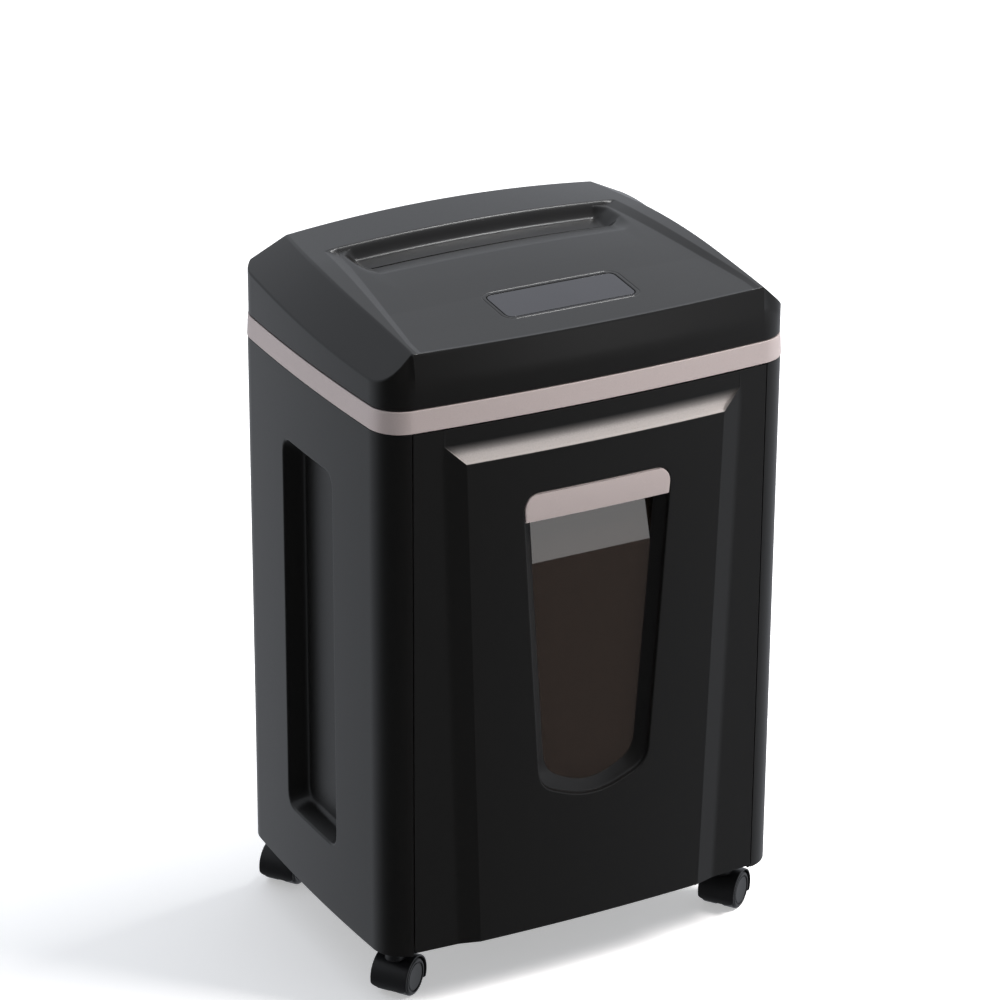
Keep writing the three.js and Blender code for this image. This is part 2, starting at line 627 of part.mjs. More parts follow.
function motorBody() {
  const { radius, inner, outer, shaft } = MOTOR;
  const bore = shaft + 0.6;
  return turnedX([[bore, inner], [radius - 6, inner], [radius, inner + 8], [radius, outer - 4],
    [radius - 5, outer], [bore, outer], [bore, inner]], ...MOTOR_AXIS, 20);
}
piece(head, 'motor', motorBody(), darkPlastic);

const FAN = { x0: -22, x1: -12, hub: 8, tip: 26, blades: 6 };
function coolingFan() {
  const [y, z] = MOTOR_AXIS;
  let fan = rodX(FAN.x0, FAN.x1, y, z, FAN.hub, 12);
  for (let i = 0; i < FAN.blades; i++) {
    const g = new THREE.BoxGeometry(FAN.x1 - FAN.x0, FAN.tip - FAN.hub + 2, 1.6);
    g.rotateY(0.5);
    g.translate((FAN.x0 + FAN.x1) / 2, (FAN.tip + FAN.hub) / 2 - 1, 0);
    g.rotateX(2 * Math.PI * i / FAN.blades);
    g.translate(0, y, z);
    fan = fan.add(solid(g));
  }
  return fan.subtract(rodX(FAN.x0 - 3, FAN.x1 + 3, y, z, MOTOR.shaft + GAP, 12));
}
piece(head, 'cooling_fan', coolingFan(), nylon);
piece(head, 'motor_shaft', rodX(FAN.x0 - 2, 136, ...MOTOR_AXIS, MOTOR.shaft, 12), steel);
piece(head, 'motor_pinion', gear(GEARS.pinion, 123.5, 134, MOTOR_AXIS, MOTOR.shaft + GAP,
  idlerToMotor + Math.PI, true), steel);

// Combs strip the shreds from the rollers: a bar with a finger into every gap between discs.
function stripperComb(axisY, shift, away) {
  const { disc, core, count, half } = CUTTER;
  const pitch = 2 * half / count;
  const barNear = axisY + away * (disc + 1.5);
  const barFar = axisY + away * (disc + 6);
  const span = (a, b) => [Math.min(a, b), Math.max(a, b)];
  let comb = block(-half, half, ...span(barNear, barFar), NIP.z - 12, NIP.z - 2);
  for (let i = 0; i < count; i++) {
    const x = -half + pitch * (i + 0.75 + shift);
    if (x > half) continue;
    const tip = axisY + away * (core + 1);
    comb = comb.add(block(x - 3.5, x + 3.5, ...span(tip, barNear + away), NIP.z - 9, NIP.z - 5));
  }
  return comb;
}
piece(head, 'front_stripper_comb', stripperComb(SHAFT_Y.front, 0, -1), nylon);
piece(head, 'rear_stripper_comb', stripperComb(SHAFT_Y.rear, 0.5, 1), nylon);

// ---------------------------------------------------------------- electrics

function controlBoard() {
  const board = block(-50, 50, -104, -64, 568, 569.6);
  const chips = [[-30, -92, 16, 12, 8], [-4, -84, 10, 10, 3], [24, -90, 18, 10, 9], [36, -72, 8, 8, 5]];
  return chips.reduce((b, [x, y, w, d, h]) => b.add(
    block(x - w / 2, x + w / 2, y - d / 2, y + d / 2, 569, 569.6 + h)), board);
}
piece(head, 'control_board', controlBoard(), boardGreen);

// The mains inlet: a shrouded socket in the rear panel with its three blades inside.
function mainsInlet() {
  const { x, z, halfX, halfZ, out, wall } = INLET;
  let socket = block(x - halfX, x + halfX, 118, out, z - halfZ, z + halfZ)
    .subtract(block(x - halfX + wall, x + halfX - wall, 128, out + 1, z - halfZ + wall, z + halfZ - wall));
  for (const [dx, dz] of [[-7, -2], [0, 3], [7, -2]]) {
    socket = socket.add(block(x + dx - 1, x + dx + 1, 127, out - 4, z + dz - 2, z + dz + 2));
  }
  return socket;
}
piece(cabinet, 'mains_inlet', mainsInlet(), darkPlastic);

function switchBezel() {
  const { x, z, halfX, halfZ, out, wall } = SWITCH;
  return block(x - halfX, x + halfX, 122, out, z - halfZ, z + halfZ)
    .subtract(block(x - halfX + wall, x + halfX - wall, 130, out + 1, z - halfZ + wall, z + halfZ - wall));
}
piece(cabinet, 'switch_bezel', switchBezel(), darkPlastic);

// The rocker is stored tipped to its off side: its rest face leans by the full tilt.
const ROCKER = { y: 138, halfX: SWITCH.halfX - 2.1, reach: 5.4 };
function rockerSwitch() {
  const { x, z, tilt } = SWITCH;
  const lean = Math.tan(tilt * Math.PI / 180);
  const face = (dz) => ROCKER.y + 5.5 + lean * dz;
  const r = ROCKER.reach;
  return alongX([[ROCKER.y - 4, z - 3], [ROCKER.y - 4, z + 3], [face(r) - 3, z + r],
    [face(r), z + r], [ROCKER.y + 5, z], [face(-r), z - r], [face(-r) - 2, z - r]],
  x - ROCKER.halfX, x + ROCKER.halfX);
}
piece(cabinet, 'rocker_switch', rockerSwitch(), darkPlastic);

const STRIKE = { x: -140, z: 500, y: -112 };   // where the drawer's tab meets the safety switch
piece(head, 'interlock_switch', block(STRIKE.x - 8, STRIKE.x + 8, STRIKE.y + 6, STRIKE.y + 30,
  STRIKE.z - 8, STRIKE.z + 8).subtract(block(STRIKE.x - 2.6, STRIKE.x + 2.6, STRIKE.y + 5,
  STRIKE.y + 20, STRIKE.z - 2.6, STRIKE.z + 2.6)), darkPlastic);
piece(head, 'interlock_plunger', block(STRIKE.x - 2.2, STRIKE.x + 2.2, STRIKE.y + 0.4, STRIKE.y + 15,
  STRIKE.z - 2.2, STRIKE.z + 2.2), nylon);

// ---------------------------------------------------------------- drawer: door and bin

const drawer = group(shredder);

// The window's outline as [x, z] points, drawn in by inset: its sides taper, and its foot bows down.
function windowOutline(inset) {
  const { topHalf, bottomHalf, top, bottom, topR, sag } = WINDOW;
  const [t, b, zt, zb] = [topHalf - inset, bottomHalf - inset, top - inset, bottom + inset];
  const cornerZ = zb + sag;
  const right = [
    [0, zb], [b * 0.38, zb + sag * 0.13], [b * 0.7, zb + sag * 0.42],
    [b * 0.9, zb + sag * 0.78], [b, cornerZ + 3],
    [b + (t - b) * 0.79, zb + (zt - zb) * 0.79],
    ...arc(t - topR, zt - topR, topR, 0, 90, 3),
  ];
  return [...right, ...right.slice(1).reverse().map(([x, z]) => [-x, z])]
    .map(([x, z]) => [x, BAND.bottom + z]);
}

function doorFaceY(x, out) {
  return -BODY.depth / 2 + bowAt(x) - out;
}

// Rows of the door's face, from the bottom up:
// [z, half-width of the raised field, how far it stands out, half-width at the foot of its bevel].
function doorRows() {
  const { bottom, top, raise, raisedTopHalf, raisedTaper, bevel, lipZ, scoop, scoopSpread } = DOOR;
  const half = (z) => raisedTopHalf + raisedTaper * (z - lipZ);
  const flatRows = [bottom - BAND.bottom, -340, -200, lipZ].map((z) => [z, half(z), raise, half(z) + bevel]);
  const foot = raisedTopHalf + bevel;
  const hollow = [[0.8, 1.6], [3.5, -0.4], [8, -1.4], [12.5, -1], [scoop, 0]];
  const scoopRows = hollow.map(([up, out]) => [
    lipZ + up, raisedTopHalf + scoopSpread * up / scoop, out, foot]);
  return [...flatRows, ...scoopRows, [top - BAND.bottom, raisedTopHalf + scoopSpread, 0, foot]];
}

function doorPanel() {
  const edge = SEAM.half - SEAM.gap / 2;
  const front = doorRows().map(([z, half, out, foot]) => {
    const right = [[half * 0.5, out], [half, out], [foot, 0], [edge, 0]];
    const cols = [...right.slice().reverse().map(([x, o]) => [-x, o]), [0, out], ...right];
    return cols.map(([x, o]) => [x, doorFaceY(x, o), BAND.bottom + z]);
  });
  const back = front.map((r) => r.map(([x, , z]) => [x, doorFaceY(x, -DOOR.skin), z]));
  const faceY = -BODY.depth / 2;
  const glassY = faceY - DOOR.raise + LENS.depth;
  const { top, bottom } = WINDOW;
  const kneeZ = BAND.bottom + LENS.kneeZ;
  const [lowZ, highZ] = [BAND.bottom + bottom - LENS.overlap, BAND.bottom + top + LENS.overlap];
  const collarBack = [[faceY + 1, lowZ], [glassY - GAP, lowZ], [glassY - GAP, kneeZ],
    [faceY - DOOR.raise + LENS.backDepth - GAP, highZ], [faceY + 1, highZ]];
  const collar = alongX(collarBack, -90, 90)
    .intersect(alongY(windowOutline(-DOOR.skin), faceY, -110));
  const ring = (y, inset) => windowOutline(inset).map(([x, z]) => [x, y, z]);
  const rimY = faceY - DOOR.raise + HANDLE.thick + 0.8;
  const recess = loft([ring(faceY - 12, 0), ring(rimY, 0), ring(glassY, LENS.inset), ring(-100, LENS.inset)],
    ([x, , z]) => [x, z]);
  const rib = (x) => block(x - 2, x + 2, faceY + 4, BIN.front - GAP, 150, 400);
  const tab = block(STRIKE.x - 5, STRIKE.x + 5, faceY + 4, STRIKE.y, STRIKE.z - 5, STRIKE.z + 5);
  return between(front, back).add(collar).add(rib(-118)).add(rib(118)).add(tab).subtract(recess);
}
piece(drawer, 'door_panel', doorPanel(), blackPlastic);

function handlePlate() {
  const faceY = -BODY.depth / 2 - DOOR.raise;
  return alongY(windowOutline(GAP), faceY, faceY + HANDLE.thick)
    .intersect(block(-100, 100, -200, 0, BAND.bottom + HANDLE.bottomZ, BAND.bottom));
}
piece(drawer, 'handle_plate', handlePlate(), silverPaint);

// Smoked window: upright below its knee, leaning back above it to leave room for the fingers.
function windowLens() {
  const glassY = -BODY.depth / 2 - DOOR.raise + LENS.depth;
  const backY = -BODY.depth / 2 - DOOR.raise + LENS.backDepth;
  const kneeZ = BAND.bottom + LENS.kneeZ;
  const topZ = BAND.bottom + WINDOW.top + LENS.overlap;
  const lowZ = BAND.bottom + WINDOW.bottom - LENS.overlap;
  const t = LENS.thick;
  const strip = alongX([[glassY, lowZ], [glassY + t, lowZ], [glassY + t, kneeZ], [backY + t, topZ],
    [backY, topZ], [glassY, kneeZ]], -90, 90);
  return strip.intersect(alongY(windowOutline(-DOOR.skin), -150, -100));
}
piece(drawer, 'window_lens', windowLens(), smokedLens);

function wasteBin() {
  const { half, front, rear, bottom, top, wall } = BIN;
  return block(-half, half, front, rear, bottom, top)
    .subtract(block(-half + wall, half - wall, front + wall, rear - wall, bottom + wall, top + 1))
    .subtract(alongY([[-40, 200], [40, 200], [48, 405], [-48, 405]], front - 1, front + wall + 1));
}
piece(drawer, 'waste_bin', wasteBin(), darkPlastic);

// ---------------------------------------------------------------- swivel casters

// The fork: a hood over both wheels, a web between them and the swivel stem on top.
function casterFork() {
  const { radius, trail, half, hood, hoodInner, web, stem } = CASTER;
  const shell = [...arc(trail, radius, hood, -35, 205, 12), ...arc(trail, radius, hoodInner, 205, -35, 12)];
  const webOutline = [...arc(trail, radius, hoodInner + 0.5, -20, 190, 9)];
  return alongX(shell, -half, half)
    .add(alongX(webOutline, -web, web))
    .add(rodZ(radius + hood - 2, DOOR.bottom + 4, 0, 0, stem, 12))
    .subtract(rodX(-half, half, trail, radius, 3, 12));
}

function casterWheel(side) {
  const { radius, trail, half, web, sides } = CASTER;
  const tread = radius / Math.cos(Math.PI / sides);
  const [near, far, bore] = [side * (web + GAP), side * (half - 0.4), 2.85];
  return turnedX([[0, far], [tread, far], [tread, near], [bore, near], [bore, far - side * 4],
    [0, far - side * 4]], trail, radius, sides, true);
}

for (const [where, x, y] of CASTER_PLACES) {
  const caster = group(shredder, x, y);
  caster.rotation.z = CASTER.swivel;
  const axleReach = CASTER.half - 4.9;
  const axle = rodX(-axleReach, axleReach, CASTER.trail, CASTER.radius, 2.5, 10);
  piece(caster, `${where}_caster_fork`, casterFork(), casterPlastic);
  piece(caster, `${where}_caster_axle`, axle, steel);
  piece(caster, `${where}_caster_outer_wheel`, casterWheel(1), casterPlastic);
  piece(caster, `${where}_caster_inner_wheel`, casterWheel(-1), casterPlastic);
}

export default shredder;
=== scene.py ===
import json
import math

import bmesh
import bpy
import numpy as np
from mathutils import Matrix, Vector


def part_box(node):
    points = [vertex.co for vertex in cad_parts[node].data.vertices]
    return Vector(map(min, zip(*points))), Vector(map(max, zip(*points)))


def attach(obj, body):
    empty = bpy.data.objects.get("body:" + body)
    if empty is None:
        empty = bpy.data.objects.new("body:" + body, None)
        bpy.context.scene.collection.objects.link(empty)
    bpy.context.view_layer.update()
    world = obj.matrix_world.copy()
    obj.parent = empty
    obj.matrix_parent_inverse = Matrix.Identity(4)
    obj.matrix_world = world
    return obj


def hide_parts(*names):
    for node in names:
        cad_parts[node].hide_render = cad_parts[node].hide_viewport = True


bl_info = {
    "name": "Pull-out-bin paper shredder",
    "version": (1, 0, 0),
    "blender": (4, 5, 0),
    "location": "View3D > Sidebar > Shredder",
    "description": "Builds the shells, casters and finishes of a paper shredder round its packed frame",
    "category": "Add Mesh",
}

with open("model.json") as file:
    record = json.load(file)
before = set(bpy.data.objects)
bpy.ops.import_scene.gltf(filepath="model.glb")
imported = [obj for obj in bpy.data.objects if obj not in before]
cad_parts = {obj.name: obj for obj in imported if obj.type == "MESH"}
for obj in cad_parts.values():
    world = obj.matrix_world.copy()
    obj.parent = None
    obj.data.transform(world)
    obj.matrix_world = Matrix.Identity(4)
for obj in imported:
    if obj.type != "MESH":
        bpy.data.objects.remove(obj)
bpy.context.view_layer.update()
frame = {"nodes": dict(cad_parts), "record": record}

MM = 0.001


def edges_mm(node):
    """Lowest and highest corner of a node of the frame, in millimetres."""
    low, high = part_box(node)
    return np.array(low) / MM, np.array(high) / MM


# ---- driving sizes, from the frame, in mm ----

SIDE_LOW, SIDE_HIGH = edges_mm("right_side_panel")
BAND_LOW, BAND_HIGH = edges_mm("trim_band")
DOOR_LOW, DOOR_HIGH = edges_mm("door_panel")

RAISE = 4.3  # how far the door's raised field stands out of the body's face
HALF_X = SIDE_HIGH[0]  # half the body's width, at the middle of its side
HALF_Y = -DOOR_LOW[1] - RAISE  # half its depth, at the middle of its front
BODY_Z = SIDE_LOW[2]
BAND_Z = SIDE_HIGH[2]  # joint between the body and the silver band
COVER_Z = edges_mm("top_cover")[0][2]
CORNER = 28.6  # radius of the body's upright corners
BOW_FRONT = 6.2  # how far the front falls back towards its corners
BOW_SIDE = 3.0
ARC_X = HALF_X - BOW_SIDE - CORNER  # centre of the round corner
ARC_Y = HALF_Y - BOW_FRONT - CORNER
SEAM_X = 164.15  # where a side panel's outline starts and ends
DOOR_X = 163.5  # half-width of the door and of the rear panel


# ---- shape tools ----

def soft_line(s, at, values, radius):
    """A broken line through (at, values), level past its ends, whose corners are rounded:
    its mean over s - radius to s + radius, from the running area under it."""
    at = np.concatenate([[at[0] - 1e4], at, [at[-1] + 1e4]]).astype(float)
    values = np.concatenate([[values[0]], values, [values[-1]]]).astype(float)
    area = np.concatenate([[0], np.cumsum(np.diff(at) * (values[1:] + values[:-1]) / 2)])
    slope = np.diff(values) / np.diff(at)

    def running(t):
        i = np.clip(np.searchsorted(at, t) - 1, 0, len(slope) - 1)
        d = t - at[i]
        return area[i] + values[i] * d + slope[i] * d * d / 2

    s = np.asarray(s, float)
    return (running(s + radius) - running(s - radius)) / (2 * radius)


def round_corners(lines, radii, steps=4):
    """Broken lines (last two axes: points, xyz). Each inner corner becomes a quadratic curve that
    leaves the line radius before the corner and joins it radius after, or at 0.45 of a short side."""
    corner = lines[..., 1:-1, :]
    back, ahead = lines[..., :-2, :] - corner, lines[..., 2:, :] - corner
    reach = np.asarray(radii, float).reshape(-1, 1)

    def part(side):
        length = np.linalg.norm(side, axis=-1, keepdims=True)
        return corner + side * np.minimum(reach / np.maximum(length, 1e-9), 0.45)

    a, b, mid = part(back)[..., None, :], part(ahead)[..., None, :], corner[..., None, :]
    s = np.linspace(0, 1, steps + 1)[:, None]
    curve = (1 - s) ** 2 * a + 2 * s * (1 - s) * mid + s ** 2 * b
    curve = curve.reshape(*lines.shape[:-2], -1, lines.shape[-1])
    return np.concatenate([lines[..., :1, :], curve, lines[..., -1:, :]], axis=-2)


def spread(knots, steps):
    """Values that run through the knots, with a number of even steps between each two."""
    parts = [np.linspace(a, b, n + 1)[:-1] for a, b, n in zip(knots, knots[1:], steps)]
    return np.concatenate([*parts, [knots[-1]]])


def resample(line, count):
    """count points evenly along an open line, both ends included."""
    run = np.concatenate([[0], np.cumsum(np.linalg.norm(np.diff(line, axis=0), axis=1))])
    at = np.linspace(0, run[-1], count)
    return np.stack([np.interp(at, run, line[:, k]) for k in range(line.shape[1])], 1)


def rounded_polygon(corners, radii, splits, counts, fine=12):
    """Closed outline through a polygon with rounded corners, as one loop of sum(counts) points.
    It starts in the middle of corner splits[0] and gives counts[i] steps from split i to the next."""
    corners = np.asarray(corners, float)
    ring = np.concatenate([corners[-1:], corners, corners[:1]])
    curves = []
    s = np.linspace(0, 1, 2 * fine + 1)[:, None]
    for i, radius in enumerate(radii, start=1):
        ends = []
        for other in (ring[i - 1], ring[i + 1]):
            side = other - ring[i]
            ends.append(ring[i] + side * min(radius / np.linalg.norm(side), 0.5))
        curves.append((1 - s) ** 2 * ends[0] + 2 * s * (1 - s) * ring[i] + s ** 2 * ends[1])
    loop = []
    for first, last, count in zip(splits, (*splits[1:], splits[0] + len(corners)), counts):
        parts = [curves[first % len(corners)][fine:]]
        parts += [curves[k % len(corners)] for k in range(first + 1, last)]
        parts.append(curves[last % len(corners)][:fine + 1])
        loop.append(resample(np.concatenate(parts), count + 1)[:-1])
    return np.concatenate(loop)


def sheet(points, close_rows=False, close_cols=False, keep=None):
    """(points, quads) of a grid of points: rows, columns, xyz. keep drops cells of the grid."""
    rows, cols = points.shape[:2]
    r = np.arange(rows if close_rows else rows - 1)[:, None]
    c = np.arange(cols if close_cols else cols - 1)[None, :]
    r1, c1 = (r + 1) % rows, (c + 1) % cols
    quads = np.stack([r * cols + c, r * cols + c1, r1 * cols + c1, r1 * cols + c], -1)
    quads = quads[keep] if keep is not None else quads
    return points.reshape(-1, 3), quads.reshape(-1, 4)


def open_sheets(*grids):
    return [sheet(grid) for grid in grids]


def closed_sheets(*grids):
    """Sheets whose columns close into rings."""
    return [sheet(grid, close_cols=True) for grid in grids]


def lines_between(first, last, steps):
    """Rows of points that run evenly from the loop first to the loop last, both included."""
    v = np.linspace(0, 1, steps + 1)[:, None, None]
    return first + (last - first) * v


def at_height(xy, z):
    """Points of a plan, with one height for all or one for each."""
    return np.concatenate([xy, np.broadcast_to(z, len(xy))[:, None]], 1)


def mirrored(part):
    """The same sheet on the other side of the middle plane."""
    points, quads = part
    return points * (-1, 1, 1), quads[:, ::-1]


def add_object(name, data):
    obj = bpy.data.objects.new(name, data)
    bpy.context.scene.collection.objects.link(obj)
    return obj


BODY_MIDDLE = (0.0, 0.0, 300.0)
UNDER_COVER = (0.0, 0.0, 450.0)


def piece(name, parts, body, slot, stands_for, wall=0.0, bevel=0.0, away=BODY_MIDDLE, sharp=32.0,
          finish=None):
    """One object from sheets in mm, joined where they meet and facing away from a point. A wall
    thickens it inwards, and a bevel rounds what is still sharp. Its finish is its slot's own,
    unless another is given."""
    points, quads = zip(*parts)
    starts = np.cumsum([0] + [len(part) for part in points[:-1]])
    faces = np.concatenate([part + start for part, start in zip(quads, starts)])
    mesh = bpy.data.meshes.new(name)
    mesh.from_pydata(np.concatenate(points) * MM, [], faces.tolist())
    join_and_face(mesh, away)
    obj = add_object(name, mesh)
    mesh.materials.append(finish or finishes()[slot])
    mesh.shade_smooth()
    mesh.set_sharp_from_angle(angle=math.radians(sharp))
    if wall:
        thick = obj.modifiers.new("Wall", "SOLIDIFY")
        thick.thickness, thick.offset = wall * MM, -1.0
    if bevel:
        soft = obj.modifiers.new("Edges", "BEVEL")
        soft.width, soft.segments = bevel * MM, 3
        soft.limit_method, soft.angle_limit = "ANGLE", math.radians(40)
        soft.use_clamp_overlap = False
    weigh = obj.modifiers.new("Normals", "WEIGHTED_NORMAL")
    weigh.keep_sharp = True
    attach(obj, body)
    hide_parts(*stands_for)
    return obj


def join_and_face(mesh, away):
    """Merges the doubles of a mesh and turns its faces away from a point in mm, or outwards if closed."""
    bm = bmesh.new()
    bm.from_mesh(mesh)
    bmesh.ops.remove_doubles(bm, verts=bm.verts, dist=0.03 * MM)
    bmesh.ops.dissolve_degenerate(bm, edges=bm.edges, dist=0.02 * MM)
    bmesh.ops.recalc_face_normals(bm, faces=bm.faces)
    if any(e.is_boundary for e in bm.edges):
        middle = Vector(away) * MM
        lean = sum(f.calc_area() * f.normal.dot(f.calc_center_median() - middle) for f in bm.faces)
        if lean < 0:
            bmesh.ops.reverse_faces(bm, faces=bm.faces)
    bm.to_mesh(mesh)
    bm.free()


# ---- plan of the body ----

def face_y(x, inset=0.0):
    """Depth of the front or rear face at x: a parabola that falls back BOW_FRONT, then the corner."""
    ax = np.abs(x)
    radius = CORNER - inset
    bowed = HALF_Y - inset - BOW_FRONT * (ax / ARC_X) ** 2
    turned = ARC_Y + np.sqrt(np.maximum(radius ** 2 - (ax - ARC_X) ** 2, 0))
    return np.where(ax <= ARC_X, bowed, turned)


def side_x(y, inset=0.0):
    """Half-width of the body at y: a parabola that falls back BOW_SIDE, then the corner."""
    ay = np.abs(y)
    radius = CORNER - inset
    bowed = HALF_X - inset - BOW_SIDE * (ay / ARC_Y) ** 2
    turned = ARC_X + np.sqrt(np.maximum(radius ** 2 - (ay - ARC_Y) ** 2, 0))
    return np.where(ay <= ARC_Y, bowed, turned)


def plan_loop(inset):
    """The body's outline from above, counter-clockwise from the front's left end, drawn in by inset."""
    x = np.linspace(-ARC_X, ARC_X, 41)
    y = np.linspace(-ARC_Y, ARC_Y, 25)
    turn = np.radians(np.linspace(-90, 0, 15))[1:-1]
    radius = CORNER - inset
    corner = np.stack([ARC_X + radius * np.cos(turn), -ARC_Y + radius * np.sin(turn)], 1)
    half = np.concatenate([
        np.stack([x, -face_y(x, inset)], 1), corner,
        np.stack([side_x(y, inset), y], 1), corner[::-1] * (1, -1)])
    return np.concatenate([half, -half])


# ---- finishes ----

def linear(colour):
    """sRGB hex to linear red, green, blue."""
    parts = [(colour >> shift & 255) / 255 for shift in (16, 8, 0)]
    return tuple(p / 12.92 if p <= 0.04045 else ((p + 0.055) / 1.055) ** 2.4 for p in parts)


def shade(colour, share=1.0):
    """A lighter or darker shade of a linear colour, with its alpha."""
    return (*(min(part * share, 1) for part in colour), 1)


def put(tree, kind, inputs, **settings):
    """Adds a node of a kind; an input is a value, or another node's output to link."""
    node = tree.nodes.new("ShaderNode" + kind)
    for name, value in settings.items():
        setattr(node, name, value)
    for socket, value in inputs.items():
        if isinstance(value, bpy.types.NodeSocket):
            tree.links.new(value, node.inputs[socket])
        else:
            node.inputs[socket].default_value = value
    return node


def start_material(name):
    """An empty material: (material, its tree, Object coordinates in millimetres)."""
    material = bpy.data.materials.new(name)
    material.use_nodes = True
    tree = material.node_tree
    tree.nodes.clear()
    place = put(tree, "TexCoord", {}).outputs["Object"]
    in_mm = put(tree, "VectorMath", {0: place, "Scale": 1 / MM}, operation="SCALE")
    return material, tree, in_mm.outputs[0]


def finish_material(material, pattern, rough, relief, inputs):
    """Ends a material and returns it: its pattern moves the roughness between two values, and raises
    the surface by relief, which is the bump's strength and its height in mm."""
    tree = material.node_tree
    if rough:
        inputs["Roughness"] = put(tree, "MapRange", {
            "Value": pattern, "To Min": rough[0], "To Max": rough[1]}).outputs[0]
    inputs["Normal"] = put(tree, "Bump", {
        "Height": pattern, "Strength": relief[0], "Distance": relief[1] * MM}).outputs[0]
    shader = put(tree, "BsdfPrincipled", inputs)
    put(tree, "OutputMaterial", {"Surface": shader.outputs[0]})
    return material


def moulded_plastic(name, colour, roughness, grain_height=0.02, shift=0.12):
    """Injection-moulded plastic: even colour with a faint mottle, 45 mm wide, and a spark-eroded grain
    that breaks up its reflections. The real grain is about 0.3 mm; 1.1 mm is what shows."""
    material, tree, place = start_material(name)
    mottle = put(tree, "TexNoise", {"Vector": place, "Scale": 1 / 45, "Detail": 3.0})
    grain = put(tree, "TexNoise", {"Vector": place, "Scale": 1 / 1.1, "Detail": 2.0})
    tint = put(tree, "Mix", {
        0: mottle.outputs["Fac"], 6: shade(colour, 1 - shift), 7: shade(colour, 1 + shift)}, data_type="RGBA")
    return finish_material(material, grain.outputs["Fac"], (roughness - 0.05, roughness + 0.05),
                           (0.35, grain_height), {"Base Color": tint.outputs[2]})


def silver_lacquer(name, colour, under=None):
    """Satin silver lacquer on plastic: aluminium flakes in a warm grey coat, half metal to the eye.
    They are drawn 0.8 mm wide so that they show. With a colour under it, the attribute "lacquer"
    fades it grain by grain into black moulded plastic: real silver where it is full, painted shade where it
    fades."""
    material, tree, place = start_material(name)
    flake = put(tree, "TexNoise", {"Vector": place, "Scale": 1 / 0.8, "Detail": 2.0})
    coat = put(tree, "Mix", {
        0: flake.outputs["Fac"], 6: shade(colour, 0.9), 7: shade(colour, 1.1)}, data_type="RGBA")
    metal = 0.6
    if under is not None:
        # full silver is the real colour; its fade to black up the scoop is painted shade
        silver_and_painted_shade = put(tree, "Attribute", {}, attribute_name="lacquer").outputs["Fac"]
        speck = put(tree, "TexNoise", {"Vector": place, "Scale": 1 / 0.9, "Detail": 1.0})
        centred = put(tree, "Math", {
            0: speck.outputs["Fac"], 1: 0.5, 2: -0.25}, operation="MULTIPLY_ADD")
        cover = put(tree, "Math", {
            0: centred.outputs[0], 1: silver_and_painted_shade, 2: silver_and_painted_shade}, operation="MULTIPLY_ADD", use_clamp=True)
        coat = put(tree, "Mix", {
            0: cover.outputs[0], 6: shade(under), 7: coat.outputs[2]}, data_type="RGBA")
        metal = 0.0
    return finish_material(material, flake.outputs["Fac"], (0.32, 0.44), (0.25, 0.01), {
        "Base Color": coat.outputs[2], "Metallic": metal})


def worked_metal(name, colour, roughness, line_mm, along=(1, 1, 1)):
    """Metal with the marks of its making: lines drawn out along one direction, or an even grain."""
    material, tree, place = start_material(name)
    drawn = put(tree, "Mapping", {"Vector": place, "Scale": along})
    marks = put(tree, "TexNoise", {
        "Vector": drawn.outputs[0], "Scale": 1 / line_mm, "Detail": 4.0}).outputs["Fac"]
    tint = put(tree, "Mix", {0: marks, 6: shade(colour, 0.8), 7: shade(colour, 1.15)}, data_type="RGBA")
    return finish_material(material, marks, (roughness - 0.08, roughness + 0.1), (0.3, 0.02), {
        "Base Color": tint.outputs[2], "Metallic": 1.0})


def smoked_polycarbonate(name, colour):
    """Clear moulded polycarbonate with a brown smoke tint: dark by absorption, mirror-smooth, with
    the slow ripple of a moulded sheet, 60 mm long."""
    material, tree, place = start_material(name)
    ripple = put(tree, "TexNoise", {"Vector": place, "Scale": 1 / 60, "Detail": 1.0})
    return finish_material(material, ripple.outputs["Fac"], (0.04, 0.09), (0.3, 0.1), {
        "Base Color": shade(colour), "IOR": 1.585, "Transmission Weight": 0.5})


def circuit_board(name, colour):
    """Solder-resist green with the faint relief of its tracks, 2.6 mm apart."""
    material, tree, place = start_material(name)
    tracks = put(tree, "TexVoronoi", {"Vector": place, "Scale": 1 / 2.6}, distance="MANHATTAN")
    tracks = tracks.outputs["Distance"]
    tint = put(tree, "Mix", {0: tracks, 6: shade(colour), 7: shade(colour, 0.6)}, data_type="RGBA")
    return finish_material(material, tracks, None, (0.3, 0.05), {
        "Base Color": tint.outputs[2], "Roughness": 0.35})


# ---- side and rear panels ----

PLAY = 0.3  # gap between two pieces that meet
PANEL_TURN = 4.0  # how far a panel's edge is turned inwards
EDGE = 0.5  # radius of a moulded edge
GRIP_RIM, GRIP_FLOOR = 1.8, 4.0  # rounding at the mouth and the floor of a grip
GRIP = {"front": -47.0, "rear": 44.6, "low": 123.0, "high": 466.0, "depth": 16.0, "slope": 6.0, "r": 14.0}
RING_Y, RING_LOW, RING_HIGH = 98.0, BODY_Z + 30, BAND_Z - 26


def edge_rows(low, high):
    """(z, inset) rows of a panel: a turned and rounded edge at each end."""
    turn = [(0, PANEL_TURN), (0, EDGE), (EDGE * 0.3, EDGE * 0.3), (EDGE, 0)]
    return [(low + up, inset) for up, inset in turn], [(high - up, inset) for up, inset in turn[::-1]]


def side_columns(inset, middle):
    """The right side's outline from its front seam round both corners to its rear seam."""
    radius = CORNER - inset
    first = math.asin((SEAM_X - ARC_X) / CORNER)
    turn = np.linspace(first, math.pi / 2, 15)
    arc = np.stack([ARC_X + radius * np.sin(turn), -ARC_Y - radius * np.cos(turn)], 1)
    seam = arc[0] + [(0, PANEL_TURN), (0, EDGE), (EDGE * 0.3, EDGE * 0.2)]
    flat = np.stack([side_x(middle, inset), middle], 1)
    return np.concatenate([seam, arc[1:], flat, arc[:0:-1] * (1, -1), seam[::-1] * (1, -1)])


